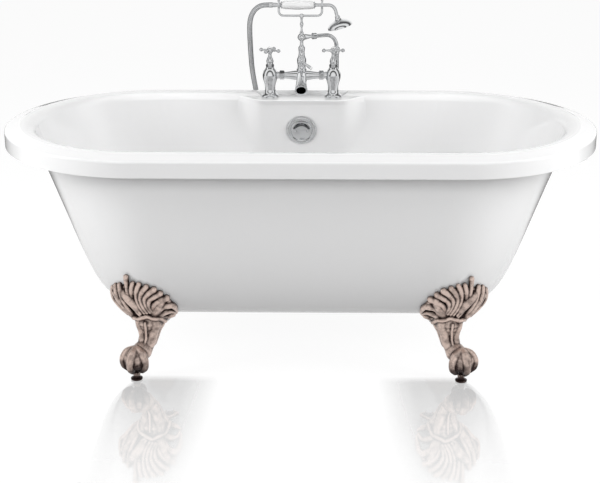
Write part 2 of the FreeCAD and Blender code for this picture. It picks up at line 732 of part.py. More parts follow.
def waste_parts():
    thread = WASTE_THREAD / 2
    bore = WASTE_BORE / 2
    at = V(0, WASTE_Y, 0)
    seat = INNER_FLOOR + GASKET
    low = seat - WASTE_TAIL
    flange = turned(*steps((bore, low), (thread, low), (thread, seat), (WASTE_FLANGE / 2, seat),
                           (WASTE_FLANGE / 2, seat + 1)),
                    [(WASTE_FLANGE / 2, seat + 1), (WASTE_FLANGE / 2 - 3, seat + 2.6), (PLUG_CAP / 2 + 1, seat + 2)],
                    *steps((PLUG_CAP / 2 + 1, seat + 2), (bore + 2, seat + 0.5), (bore, seat - 2)))
    bar_z = low + WASTE_TAIL * 0.3
    bars = Part.makeBox(2 * bore + 1, 5, 5, V(-bore - 0.5, -2.5, bar_z)).fuse(
        Part.makeBox(5, 2 * bore + 1, 5, V(-2.5, -bore - 0.5, bar_z)))
    hub = Part.makeCylinder(PLUG_STEM, 8, V(0, 0, bar_z - 1))
    flange = bored(flange.fuse(bars.fuse(hub)), PLUG_STEM / 2 + RUN_GAP, bar_z - 2, bar_z + 9)
    cap_z = seat + 2.6 + FREE_GAP
    cap = turned([(0, cap_z + 5.5), (PLUG_CAP / 4, cap_z + 4.8), (PLUG_CAP / 2 - 2, cap_z + 2.6),
                  (PLUG_CAP / 2, cap_z + 1)],
                 *steps((PLUG_CAP / 2, cap_z + 1), (PLUG_CAP / 2 - 1, cap_z), (bore - 1, cap_z),
                        (bore - 3, cap_z - 7), (PLUG_STEM / 2, cap_z - 7), (PLUG_STEM / 2, bar_z - 14),
                        (0, bar_z - 14)))
    under = BASE_HEIGHT - GASKET
    tee = turned(*steps((thread, under), (TEE_RADIUS + 4, under), (TEE_RADIUS + 4, under - 6),
                        (TEE_RADIUS, under - 9), (TEE_RADIUS, under - TEE_DROP + 4),
                        (thread - RELIEF_DEPTH, under - TEE_DROP),
                        (thread - RELIEF_DEPTH, under - TEE_DROP - THREAD_RELIEF),
                        (thread, under - TEE_DROP - THREAD_RELIEF), (thread, under - TEE_DROP - OUTLET_LENGTH),
                        (bore, under - TEE_DROP - OUTLET_LENGTH), (bore, low - 4), (thread, low - 2)))
    inlet_z = tee_inlet_z()
    tee = tee.fuse(Part.makeCylinder(PIPE_RADIUS + TEE_SOCKET, TEE_REACH, V(0, 0, inlet_z), BACK))
    tee = tee.cut(Part.makeCylinder(PIPE_RADIUS, TEE_REACH, V(0, TEE_RADIUS - 2, inlet_z), BACK))
    tee = tee.cut(Part.makeCylinder(PIPE_RADIUS - PIPE_WALL, TEE_REACH, V(0, 0, inlet_z), BACK))
    tee = bored(tee, bore, under - TEE_DROP, low - 2)
    tee = bored(tee, thread, low - 2, under)
    top_ring = ring(WASTE_FLANGE / 2 - 2, thread, GASKET, V(0, 0, INNER_FLOOR))
    low_ring = ring(TEE_RADIUS + 3, thread, GASKET, V(0, 0, under))
    return {"waste_flange": [flange.translated(at)], "waste_plug": [cap.translated(at)],
            "waste_tee": [tee.translated(at)],
            "waste_gaskets": [top_ring.translated(at), low_ring.translated(at)]}


def tee_inlet_z():
    return BASE_HEIGHT - GASKET - TEE_DROP + PIPE_RADIUS + TEE_SOCKET + TEE_SHOULDER


def overflow_axis():
    """Where the down pipe stands and the height of the elbow's middle."""
    front, lean = overflow_seat()
    turn = math.radians(lean)
    return front + OVERFLOW_REACH * math.cos(turn), OVERFLOW_HEIGHT - OVERFLOW_REACH * math.sin(turn)


def overflow_parts():
    face = PAD_PROUD
    radius = OVERFLOW_PLATE / 2
    plate = turned(*steps((0, face), (radius, face), (radius, face + 2)),
                   [(radius, face + 2), (radius - 2, face + 5), (radius - 6, face + 6.5), (radius - 10, face + 6)],
                   *steps((radius - 10, face + 6), (radius - 12, face + 4.5), (radius - 14, face + 6.5)),
                   [(radius - 14, face + 6.5), (radius / 3, face + 8.5), (0, face + 9)])
    slot_out = Part.makeCylinder(radius * 0.58, 12, V(0, 0, face))
    slot_in = Part.makeCylinder(radius * 0.52, 12, V(0, -radius * 0.16, face))
    slot = slot_out.cut(slot_in).common(Part.makeBox(2 * radius, radius, 12, V(-radius, radius * 0.12, face)))
    plate = plate.cut(slot)
    screws, holes = [], []
    back = -WALL - GASKET - ELBOW_FLANGE
    for side in SIDES:
        at = V(side * OVERFLOW_SCREWS / 2, 0, 0)
        head = turned([(0, face + 10.5), (3, face + 9.8), (4.2, face + 7.5)],
                      *steps((4.2, face + 7.5), (SCREW_SHANK, face + 7), (SCREW_SHANK, back + 1), (0, back + 1)))
        slit = Part.makeBox(10, 1, 1.2, V(-5, -0.5, face + 9.6))
        screws.append(on_overflow(head.cut(slit).translated(at)))
        holes.append(Part.makeCylinder(SCREW_SHANK, 40, at - UP * 20))
        holes.append(Part.makeCylinder(4.3, 8, at + UP * (face + 7)))
    for hole in holes:
        plate = plate.cut(hole)
    gasket = ring(OVERFLOW_HOLE / 2 + 10, OVERFLOW_HOLE / 2, GASKET, V(0, 0, -WALL - GASKET))
    pipe_y, pipe_z = overflow_axis()
    body = turned(*steps((0, back), (OVERFLOW_HOLE / 2 + 10, back), (OVERFLOW_HOLE / 2 + 10, -WALL - GASKET),
                         (0, -WALL - GASKET)))
    neck = turned(*steps((0, -OVERFLOW_REACH), (ELBOW_RADIUS, -OVERFLOW_REACH), (ELBOW_RADIUS, back - 16),
                         (CHAMBER + 3, back - 11), (CHAMBER + 3, back + 1), (0, back + 1)))
    inner = Part.makeCylinder(CHAMBER, OVERFLOW_REACH / 2, V(0, 0, -OVERFLOW_REACH / 2))
    channel = Part.makeCylinder(PIPE_RADIUS - PIPE_WALL, OVERFLOW_REACH, V(0, 0, -OVERFLOW_REACH))
    knee = Part.makeSphere(ELBOW_RADIUS, V(0, pipe_y, pipe_z))
    socket = Part.makeCylinder(PIPE_RADIUS + 4, ELBOW_DROP, V(0, pipe_y, pipe_z - ELBOW_DROP))
    elbow = on_overflow(body.fuse(neck)).fuse(knee).fuse(socket)
    elbow = elbow.cut(on_overflow(inner.fuse(channel)))
    elbow = elbow.cut(Part.makeCylinder(PIPE_RADIUS - PIPE_WALL, ELBOW_DROP, V(0, pipe_y, pipe_z - ELBOW_DROP)))
    elbow = elbow.cut(Part.makeCylinder(PIPE_RADIUS, ELBOW_DROP / 2, V(0, pipe_y, pipe_z - ELBOW_DROP)))
    bar = Part.makeBox(2 * CHAMBER + 2, 10, 4, V(-CHAMBER - 1, -5, back + 0.5))
    for side in SIDES:
        bar = bar.cut(Part.makeCylinder(SCREW_SHANK, 20, V(side * OVERFLOW_SCREWS / 2, 0, back - 5)))
    elbow = elbow.fuse(on_overflow(bar))
    tee_end = WASTE_Y + TEE_RADIUS - 2
    inlet = tee_inlet_z()
    route = [V(0, pipe_y, pipe_z - ELBOW_DROP / 2), V(0, pipe_y, inlet), V(0, tee_end, inlet)]
    pipe = tube(route, [PIPE_BEND], PIPE_RADIUS).cut(tube(route, [PIPE_BEND], PIPE_RADIUS - PIPE_WALL))
    return {"overflow_plate": [on_overflow(plate)], "overflow_screws": screws,
            "overflow_gasket": [on_overflow(gasket)], "overflow_elbow": [elbow], "overflow_pipe": [pipe]}


# ================= mixer =================

def at_tap(shape, side=0):
    """Lays a shape made about the Z axis, from the ledge up, at a pillar or at the body."""
    return shape.translated(V(side * TAP_PITCH / 2, TAP_Y, LEDGE_Z))


def pillar(side):
    """A tap pillar with its threaded tail and the stub that the bridge joins."""
    groove = -WALL - GASKET - BACKNUT_HEIGHT - BACKNUT_SPARE
    body = turned(*steps((0, -TAIL_LENGTH), (TAIL_RADIUS, -TAIL_LENGTH), (TAIL_RADIUS, groove - THREAD_RELIEF),
                         (TAIL_RADIUS - RELIEF_DEPTH, groove - THREAD_RELIEF),
                         (TAIL_RADIUS - RELIEF_DEPTH, groove), (TAIL_RADIUS, groove), (TAIL_RADIUS, 0),
                         (PILLAR_FLANGE, 0), (PILLAR_FLANGE, 3)),
                  [(PILLAR_FLANGE, 3), (23, 7.5), (17.5, 12), (14.8, 20), (14.5, 30), (17, 42), (20.3, 54),
                   (BELLY_RADIUS, BELLY_HEIGHT), (19, 73), (13.5, 82)],
                  *steps((13.5, 82), (11.5, BONNET_HEIGHT), (0, BONNET_HEIGHT)))
    inward = RIGHT * -side
    axis = V(0, 0, BELLY_HEIGHT)
    reach = TAP_PITCH / 2 - UNION_AT
    stub = Part.makeCylinder(STUB_RADIUS, reach, axis, inward)
    collar_at = axis + inward * (reach - UNION_COLLAR)
    stub = stub.fuse(Part.makeCylinder(UNION_RADIUS, UNION_COLLAR, collar_at, inward))
    bead = Part.makeCylinder(STUB_RADIUS + 1.5, 3, axis + inward * BELLY_RADIUS, inward)
    body = body.fuse(stub).fuse(bead)
    body = bored(body, WATERWAY, -TAIL_LENGTH, BONNET_HEIGHT)
    return at_tap(body.cut(Part.makeCylinder(STUB_BORE, reach, axis, inward)), side)


def bonnet():
    """The headgear that guides the spindle, screwed into a pillar."""
    low = BONNET_HEIGHT - 10
    skirt = hexagon(2 * BONNET_RADIUS, 9, V(0, 0, BONNET_HEIGHT))
    body = turned(*steps((0, low), (WATERWAY, low), (WATERWAY, BONNET_HEIGHT), (BONNET_RADIUS - 1, BONNET_HEIGHT),
                         (BONNET_RADIUS - 1, BONNET_HEIGHT + 12)),
                  [(BONNET_RADIUS - 1, BONNET_HEIGHT + 12), (BONNET_RADIUS, BONNET_HEIGHT + 17),
                   (BONNET_RADIUS - 1.5, BONNET_HEIGHT + 24), (5.6, BONNET_HEIGHT + 31),
                   (5.4, BONNET_NECK_TOP)],
                  *steps((5.4, BONNET_NECK_TOP), (0, BONNET_NECK_TOP)))
    return bored(body.fuse(skirt), SPINDLE_RADIUS + RUN_GAP, low, BONNET_NECK_TOP)


def spindle():
    """The spindle with the disc that closes the waterway."""
    foot = BONNET_HEIGHT - 22
    return turned(*steps((0, foot), (WATERWAY - 1, foot), (WATERWAY - 1, foot + 5), (SPINDLE_RADIUS, foot + 7),
                         (SPINDLE_RADIUS, HUB_TOP), (0, HUB_TOP)))


def cross_handle(turn):
    """Four arms with balls at their ends."""
    low = BONNET_NECK_TOP + FREE_GAP
    hub = turned(*steps((0, low), (6, low)),
                 [(6, low), (8.2, low + 3.5), (8.6, HUB_HEIGHT), (7.6, HUB_TOP - 1.5)],
                 *steps((7.6, HUB_TOP - 1.5), (6.8, HUB_TOP), (0, HUB_TOP)))
    arm = along(turned(*steps((0, 0), (3.6, 0)), [(3.6, 0), (3.4, 8), (2.9, 15), (2.6, HANDLE_REACH)],
                       *steps((2.6, HANDLE_REACH), (0, HANDLE_REACH))), RIGHT)
    ball = Part.makeSphere(HANDLE_BALL, RIGHT * HANDLE_REACH)
    pieces = [hub]
    for quarter in range(4):
        for piece in (arm, ball):
            pieces.append(turn_z(piece, turn + 90 * quarter).translated(UP * HUB_HEIGHT))
    return bored(fused(pieces), SPINDLE_RADIUS + RUN_GAP, low, HUB_TOP)


def index_cap():
    return turned(*steps((0, HUB_TOP), (6.4, HUB_TOP), (6.4, HUB_TOP + 1)),
                  [(6.4, HUB_TOP + 1), (4.5, HUB_TOP + 2.6), (0, HUB_TOP + 3.4)])


def pillars():
    nodes = {"tap_washers": [], "tap_backnuts": []}
    under = -WALL
    for side, name, turn in ((-1, "hot", HANDLE_TURN_HOT), (1, "cold", HANDLE_TURN_COLD)):
        nodes[f"{name}_pillar"] = [pillar(side)]
        nodes[f"{name}_bonnet"] = [at_tap(bonnet(), side)]
        nodes[f"{name}_spindle"] = [at_tap(spindle(), side)]
        nodes[f"{name}_handle"] = [at_tap(cross_handle(turn), side)]
        nodes[f"{name}_index"] = [at_tap(index_cap(), side)]
        washer = ring(TAP_WASHER, TAIL_RADIUS + RUN_GAP, GASKET, V(0, 0, under - GASKET))
        nut_low = under - GASKET - BACKNUT_HEIGHT
        nut = turn_z(hexagon(BACKNUT, BACKNUT_HEIGHT, V(0, 0, nut_low)), 30)
        nut = bored(nut, TAIL_RADIUS + RUN_GAP, nut_low, under)
        nodes["tap_washers"].append(at_tap(washer, side))
        nodes["tap_backnuts"].append(at_tap(nut, side))
    return nodes


def bridge_arm():
    """One arm of the body along Z, up to the face that the union joins."""
    return turned(*steps((0, 0), (BODY_RADIUS - 0.5, 0)),
                  [(BODY_RADIUS - 0.5, 0), (BODY_RADIUS - 0.5, 12), (12.6, 24), (10.4, 38), (9.3, UNION_AT - 6)],
                  *steps((9.3, UNION_AT - 6), (UNION_RADIUS, UNION_AT - 5), (UNION_RADIUS, UNION_AT), (0, UNION_AT)))


def spout_shape(radii):
    """A trumpet that leaves the body level and turns down towards its mouth."""
    stations = ((0, 0, 0), (-18, 0, 0), (-38, -1.6, 8), (-58, -6.2, 17), (-78, -14.0, 25),
                (-SPOUT_REACH, -23.6, SPOUT_DIP))
    wires = []
    for (y, z, dip), radius in zip(stations, radii):
        angle = math.radians(dip)
        way = V(0, -math.cos(angle), -math.sin(angle))
        wires.append(Part.Wire([Part.Circle(V(0, y, BELLY_HEIGHT + z), way, radius).toShape()]))
    return Part.makeLoft(wires, True, False)


def centre_body():
    barrel = turned([(0, BODY_LOW - 8), (4, BODY_LOW - 7), (5, BODY_LOW - 4), (9, BODY_LOW - 1),
                     (BODY_RADIUS, BODY_LOW + 6)],
                    *steps((BODY_RADIUS, BODY_LOW + 6), (BODY_RADIUS, BODY_TOP - 2), (BODY_RADIUS - 1.5, BODY_TOP),
                           (0, BODY_TOP)))
    arms = [along(bridge_arm(), RIGHT * side).translated(UP * BELLY_HEIGHT) for side in SIDES]
    spout = spout_shape((14, 14, 13.6, 13.8, 15.4, SPOUT_MOUTH))
    body = fused([barrel, *arms, spout])
    body = bored(body, 9, BODY_LOW + 6, BODY_TOP)
    for side in SIDES:
        body = body.cut(Part.makeCylinder(STUB_BORE, UNION_AT, V(0, 0, BELLY_HEIGHT), RIGHT * side))
    return at_tap(body.cut(spout_shape((8.5, 8.5, 9, 10, 11.8, SPOUT_BORE))))


def union_nut(side):
    nut = hexagon(UNION_NUT, 14)
    nut = bored(nut, UNION_RADIUS + RUN_GAP, 0, 7 + UNION_COLLAR)
    nut = bored(nut, STUB_RADIUS + RUN_GAP, 0, 14)
    return at_tap(along(nut.translated(UP * (UNION_AT - 7)), RIGHT * side).translated(UP * BELLY_HEIGHT))


def diverter_parts():
    """The housing above the body, its spindle with the lever, and the lever's tip."""
    housing = turned(*steps((0, BODY_TOP), (BODY_RADIUS - 0.5, BODY_TOP), (BODY_RADIUS - 0.5, BODY_TOP + 3)),
                     [(BODY_RADIUS - 0.5, BODY_TOP + 3), (11.4, BODY_TOP + 8), (11.2, BODY_TOP + 14),
                      (DIVERTER_RADIUS, BODY_TOP + 22), (DIVERTER_RADIUS, LEVER_HEIGHT + 3),
                      (11, DIVERTER_TOP - 2)],
                     *steps((11, DIVERTER_TOP - 2), (9.5, DIVERTER_TOP), (0, DIVERTER_TOP)))
    axis = V(0, 0, LEVER_HEIGHT)
    housing = housing.fuse(Part.makeCylinder(LEVER_BOSS, LEVER_OUT, axis, -BACK))
    housing = bored(housing, 5, BODY_TOP, DIVERTER_TOP)
    housing = housing.cut(Part.makeCylinder(SPINDLE_RADIUS - 1 + RUN_GAP, LEVER_OUT, axis, -BACK))
    front = LEVER_OUT + FREE_GAP
    hub = turned(*steps((0, 6), (SPINDLE_RADIUS - 1, 6), (SPINDLE_RADIUS - 1, front), (LEVER_BOSS - 0.5, front),
                        (LEVER_BOSS, front + 1), (LEVER_BOSS, front + 6)),
                 [(LEVER_BOSS, front + 6), (LEVER_BOSS - 2.5, front + 8.2), (0, front + 9)])
    hub = along(hub, -BACK).translated(axis)
    angle = math.radians(LEVER_TURN)
    way = V(math.cos(angle), 0, -math.sin(angle))
    root = axis - BACK * (front + 4)
    low = LEVER_LENGTH - LEVER_TIP
    arm = along(turned(*steps((0, 0), (3.4, 0)), [(3.4, 0), (3.0, 9), (3.7, 18), (LEVER_RADIUS, low)],
                       *steps((LEVER_RADIUS, low), (0, low))), way).translated(root)
    tip = turned(*steps((0, low), (LEVER_RADIUS, low), (LEVER_RADIUS, low + 3)),
                 [(LEVER_RADIUS, low + 3), (0.75 * LEVER_RADIUS, low + 5.8), (0, LEVER_LENGTH)])
    tip = along(tip, way).translated(root)
    return {"diverter_body": [at_tap(housing)], "diverter_lever": [at_tap(fused([hub, arm]))],
            "diverter_tip": [at_tap(tip)]}


def swan_way():
    turn = math.radians(SWAN_TURN)
    return V(math.cos(turn), math.sin(turn), 0)


def riser_parts():
    """Riser, ball joint, swan neck and the nuts between them."""
    low = DIVERTER_TOP
    riser = turned(*steps((0, low), (9, low), (9, low + 4)),
                   [(9, low + 4), (8.2, low + 8), (8.6, low + 16), (9, low + 20)],
                   *steps((9, low + 20), (9, low + 26)),
                   [(9, low + 26), (6.5, low + 29), (5, low + 33), (4.8, RISER_TOP)],
                   *steps((4.8, RISER_TOP), (0, RISER_TOP)))
    riser = bored(riser, 3, low, RISER_TOP)
    way = swan_way()
    middle = V(0, 0, BALL_JOINT_HEIGHT)
    ball = Part.makeSphere(BALL_JOINT_RADIUS, middle)
    slab = Part.makeBox(60, 60, STEM_LOW - RISER_TOP, V(-30, -30, RISER_TOP))
    outlet = along(turned(*steps((0, 0), (8.5, 0)), [(8.5, 0), (8.3, 10), (6.4, 20), (4.6, SWAN_NUT_AT - 3)],
                          *steps((4.6, SWAN_NUT_AT - 3), (7.5, SWAN_NUT_AT - 1), (7.5, SWAN_NUT_AT), (0, SWAN_NUT_AT))),
                   way).translated(middle)
    joint = ball.common(slab).fuse(outlet)
    joint = joint.cut(rod(3, middle, middle + way * SWAN_NUT_AT))
    joint = bored(joint, 3, RISER_TOP, BALL_JOINT_HEIGHT)
    start = middle + way * SWAN_NUT_AT
    top_end = HOSE_NUT_TOP - 9
    route = [start, middle + way * SWAN_REACH, V(0, 0, top_end) + way * SWAN_REACH]
    swan = tube(route, [SWAN_BEND], SWAN_RADIUS).cut(tube(route, [SWAN_BEND], SWAN_RADIUS - 1.2))
    nut = turned(*steps((0, 0), (SWAN_NUT / 2, 0), (SWAN_NUT / 2, SWAN_NUT_LENGTH - 2)),
                 [(SWAN_NUT / 2, SWAN_NUT_LENGTH - 2), (SWAN_NUT / 2 - 0.6, SWAN_NUT_LENGTH - 0.6),
                  (SWAN_NUT / 2 - 2, SWAN_NUT_LENGTH)],
                 *steps((SWAN_NUT / 2 - 2, SWAN_NUT_LENGTH), (0, SWAN_NUT_LENGTH)))
    nut = bored(nut, SWAN_RADIUS + RUN_GAP, 0, SWAN_NUT_LENGTH)
    swan_nut = along(nut, way).translated(start)
    hose_nut = turned(*steps((0, HOSE_NUT_LOW), (7.8, HOSE_NUT_LOW), (8.2, HOSE_NUT_LOW + 1), (8.2, HOSE_NUT_LOW + 6),
                             (9.2, HOSE_NUT_LOW + 7), (9.2, HOSE_NUT_TOP - 2), (7.6, HOSE_NUT_TOP),
                             (0, HOSE_NUT_TOP)))
    hose_nut = bored(hose_nut, SWAN_RADIUS + RUN_GAP, top_end, HOSE_NUT_TOP)
    hose_nut = bored(hose_nut, SWAN_RADIUS - 1.2, HOSE_NUT_LOW, top_end)
    hose_nut = hose_nut.translated(way * SWAN_REACH)
    return {"riser": [at_tap(riser)], "ball_joint": [at_tap(joint)], "swan_neck": [at_tap(swan)],
            "swan_neck_nut": [at_tap(swan_nut)], "hose_nut": [at_tap(hose_nut)]}


def cradle_parts():
    """The stem on the ball joint and the forked bar that the handset lies in."""
    top = CRADLE_HEIGHT + 6
    stem = turned(*steps((0, STEM_LOW), (5.4, STEM_LOW), (5.4, STEM_LOW + 3)),
                  [(5.4, STEM_LOW + 3), (3.6, STEM_LOW + 7), (3.2, STEM_LOW + 20)],
                  [(3.2, STEM_LOW + 20), (4.8, STEM_LOW + 25), (4.8, STEM_LOW + 28), (3.2, STEM_LOW + 33)],
                  [(3.2, STEM_LOW + 33), (3.3, CRADLE_HEIGHT - 9), (5, CRADLE_HEIGHT - 4)],
                  *steps((5, CRADLE_HEIGHT - 4), (5, top - 2)),
                  [(5, top - 2), (3.5, top - 0.5), (0, top)])
    stem = stem.cut(rod(CRADLE_ROD + RUN_GAP, V(-10, 0, CRADLE_HEIGHT), V(10, 0, CRADLE_HEIGHT)))
    middle = HANDSET_HEIGHT + FORK_PLAY - FREE_GAP
    reach = HANDSET_NECK + FORK_PLAY + FORK_ROD
    base = middle - reach
    bar = tube([V(CRADLE_LEFT, 0, base), V(CRADLE_LEFT, 0, CRADLE_HEIGHT), V(CRADLE_RIGHT, 0, CRADLE_HEIGHT),
                V(CRADLE_RIGHT, 0, base)], [CRADLE_CORNER, CRADLE_CORNER], CRADLE_ROD)
    pieces = [bar]
    for x in (CRADLE_LEFT, CRADLE_RIGHT):
        bend = Part.Arc(V(x, -reach, middle), V(x, 0, base), V(x, reach, middle))
        path = Part.Wire([Part.LineSegment(V(x, -reach, FORK_TIP), V(x, -reach, middle)).toShape(), bend.toShape(),
                          Part.LineSegment(V(x, reach, middle), V(x, reach, FORK_TIP)).toShape()])
        profile = Part.Wire([Part.Circle(V(x, -reach, FORK_TIP), UP, FORK_ROD).toShape()])
        pieces.append(path.makePipeShell([profile], True, False))
        for y in (-reach, reach):
            pieces.append(Part.makeSphere(FORK_ROD + 0.9, V(x, y, FORK_TIP)))
    return {"cradle_stem": [at_tap(stem)], "cradle": [at_tap(fused(pieces))]}


# ================= handset =================

def on_handset(shape):
    """Lays a shape made along Z on the handset's axis, Z pointing to the rose."""
    return along(shape, RIGHT).translated(V(0, TAP_Y, HANDSET_Z))


def rose_way():
    tilt = math.radians(ROSE_TILT)
    return V(math.sin(tilt), 0, -math.cos(tilt))


def on_rose(shape):
    """Lays a shape made along Z on the rose, Z pointing out of its face."""
    return along(shape, rose_way()).translated(V(ROSE_X, TAP_Y, HANDSET_Z - ROSE_DROP))


def handset_parts():
    way = rose_way()
    rim = V(ROSE_X, TAP_Y, HANDSET_Z - ROSE_DROP)
    corner = rim + way * (-ROSE_DROP / math.cos(math.radians(ROSE_TILT)))
    neck_end = rim - way * (ROSE_DEPTH + 0.5)
    route = [V(TUBE_LEFT, TAP_Y, HANDSET_Z), corner, neck_end]
    pipe = tube(route, [NECK_BEND], HANDSET_NECK).cut(tube(route, [NECK_BEND], HANDSET_NECK - 1))
    middle = (GRIP_LEFT + GRIP_RIGHT) / 2
    grip = turned(*steps((GRIP_BORE, GRIP_LEFT), (9, GRIP_LEFT)),
                  [(9, GRIP_LEFT), (10.2, GRIP_LEFT + 3), (11.8, GRIP_LEFT + 18), (GRIP_RADIUS, middle),
                   (11.8, GRIP_RIGHT - 18), (10.2, GRIP_RIGHT - 3), (9, GRIP_RIGHT)],
                  *steps((9, GRIP_RIGHT), (GRIP_BORE, GRIP_RIGHT)))
    hole = HANDSET_NECK + RUN_GAP
    ferrules = []
    for end, out in ((GRIP_LEFT, -1), (GRIP_RIGHT, 1)):
        ferrules.append(turned(*steps((hole, end), (9.6, end), (10, end + out)),
                               [(10, end + out), (9.4, end + 2.4 * out), (6.6, end + 3.6 * out),
                                (6, end + FERRULE * out)],
                               *steps((6, end + FERRULE * out), (hole, end + FERRULE * out))))
    cone = turned(*steps((0, CONE_END), (7.3, CONE_END), (7.6, CONE_END + 1), (7.6, CONE_END + 9),
                         (6.4, CONE_END + 13), (6.4, CONE_END + 17), (5.6, CONE_TOP), (0, CONE_TOP)))
    cone = bored(cone, hole, TUBE_LEFT, CONE_TOP)
    cone = bored(cone, HANDSET_NECK - 1, CONE_END, TUBE_LEFT)
    deep = -ROSE_DEPTH
    bell = turned(*steps((0, deep - 6), (7, deep - 6), (7, deep)),
                  [(7, deep), (9, deep + 3.5), (17, deep + 8), (26, deep + 12.5), (32, deep + 18),
                   (ROSE_RADIUS, -4)],
                  *steps((ROSE_RADIUS, -4), (ROSE_RADIUS, 0), (ROSE_RADIUS - 1.6, 0), (ROSE_RADIUS - 1.6, -4)),
                  [(ROSE_RADIUS - 1.6, -4), (29.5, deep + 19.2), (24, deep + 14.5), (15, deep + 10.2),
                   (7, deep + 7), (0, deep + 6)])
    bell = bored(bell, hole, deep - 6, deep - 0.5)
    bell = bored(bell, HANDSET_NECK - 1, deep - 1, deep + 8)
    plate = turned(*steps((0, -3.5), (ROSE_RADIUS - 1.65, -3.5), (ROSE_RADIUS - 1.65, -1.2)),
                   [(ROSE_RADIUS - 1.65, -1.2), (20, -0.4), (0, 0)])
    for radius, count in ROSE_HOLES:
        for i in range(count):
            angle = 2 * math.pi * i / count
            at = V(radius * math.cos(angle), radius * math.sin(angle), -5)
            plate = plate.cut(Part.makeCylinder(ROSE_HOLE, 7, at))
    return {"handset_tube": [pipe], "handset_grip": [on_handset(grip)],
            "handset_ferrules": [on_handset(f) for f in ferrules], "handset_connector": [on_handset(cone)],
            "rose": [on_rose(bell)], "rose_plate": [on_rose(plate)]}


def hose_points():
    """Route of the hose: off the handset, over the rim, in a free loop behind the bath
    and up to the swan neck."""
    y, z = TAP_Y, HANDSET_Z
    end = V(0, TAP_Y, 0) + swan_way() * SWAN_REACH
    return [
        V(CONE_END, y, z), V(-108.7, y, z), V(-124, 304, 885.2), V(-137, 306, 872), V(-146, 309.5, 849),
        V(-147.4, 319, 814), V(-147.2, 350, 757), V(-145.4, 379.5, 697), V(-138, 402, 640), V(-127, 408.2, 580),
        V(-124.5, 410.2, 480), V(-126.5, 408.2, 360), V(-125, 408.7, 243.6), V(-59.4, 408.2, 178),
        V(33.4, 408.2, 178), V(99, 408.7, 243.6), V(97.5, 409.7, 350), V(99.5, 408.7, 460), V(98, 408.2, 560),
        V(98.5, 406.2, 622), V(end.x, 396.8, 650.4), V(end.x, 379.8, 676.5), V(end.x, 364.5, 699),
        V(end.x, 352.5, 715.8), V(end.x, end.y, 730.1), V(end.x, end.y, LEDGE_Z + HOSE_NUT_LOW),
    ]


def hose():
    points = hose_points()
    radii = hose_radii(points)
    body = tube(points, radii, HOSE_RADIUS)
    length = bent_path(points, radii).Length
    section = math.pi * HOSE_RADIUS ** 2
    print("hose length", round(length, 1), "radii", [round(r) for r in radii])
    print("hose volume", round(body.Volume), "section times length", round(section * length))
    return {"hose": [body]}


def build():
    outer = hull(0, HEIGHT - ROLL_DROP)
    nodes = {"bath_shell": [bath_shell()]}
    foot = claw_foot(outer)
    for name, x, y in corners():
        nodes[f"claw_foot_{name}"] = [mirrored(foot, x, y)]
        nodes[f"levelling_foot_{name}"] = [levelling_foot(x, y)]
    nodes.update(foot_fastenings())
    nodes.update(waste_parts())
    nodes.update(overflow_parts())
    nodes.update(pillars())
    nodes["centre_body"] = [centre_body()]
    nodes["union_nuts"] = [union_nut(side) for side in SIDES]
    nodes.update(diverter_parts())
    nodes.update(riser_parts())
    nodes.update(cradle_parts())
    nodes.update(handset_parts())
    nodes.update(hose())
    return nodes


def main():
    os.makedirs("parts", exist_ok=True)
    for name, solids in build().items():
        shape = solids[0] if len(solids) == 1 else Part.makeCompound(solids)
        if not shape.isValid() or len(shape.Solids) != len(solids):
            print("check", name, shape.isValid(), len(shape.Solids), "of", len(solids))
        shape.exportStep(f"parts/{name}.step")


if __name__ == "__main__":
    main()
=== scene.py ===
import math

import bmesh
import bpy
from mathutils import Matrix, Vector
from mathutils.bvhtree import BVHTree


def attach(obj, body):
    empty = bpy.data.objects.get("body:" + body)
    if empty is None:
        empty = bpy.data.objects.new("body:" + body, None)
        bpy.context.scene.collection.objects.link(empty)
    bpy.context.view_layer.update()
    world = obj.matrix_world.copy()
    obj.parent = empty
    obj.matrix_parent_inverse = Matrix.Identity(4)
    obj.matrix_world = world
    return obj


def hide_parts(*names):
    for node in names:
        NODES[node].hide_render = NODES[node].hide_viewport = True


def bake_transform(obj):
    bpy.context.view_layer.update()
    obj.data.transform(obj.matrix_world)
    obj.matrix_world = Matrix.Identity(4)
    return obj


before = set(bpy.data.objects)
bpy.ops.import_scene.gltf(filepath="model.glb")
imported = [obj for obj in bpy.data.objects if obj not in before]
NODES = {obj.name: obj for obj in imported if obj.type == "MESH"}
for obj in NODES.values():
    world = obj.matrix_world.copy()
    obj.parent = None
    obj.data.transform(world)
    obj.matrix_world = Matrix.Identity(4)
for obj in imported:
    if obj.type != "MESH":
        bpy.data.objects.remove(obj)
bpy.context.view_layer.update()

bl_info = {
    "name": "Clawfoot bath",
    "version": (1, 0, 0),
    "blender": (4, 5, 0),
    "location": "3D View > Sidebar > Bath",
    "description": "Dresses the packed clawfoot bath with its finishes, fine shapes, hose and "
                   "studio",
    "category": "Object",
}

FEET = ("front_left", "front_right", "back_left", "back_right")


# ================= settings =================

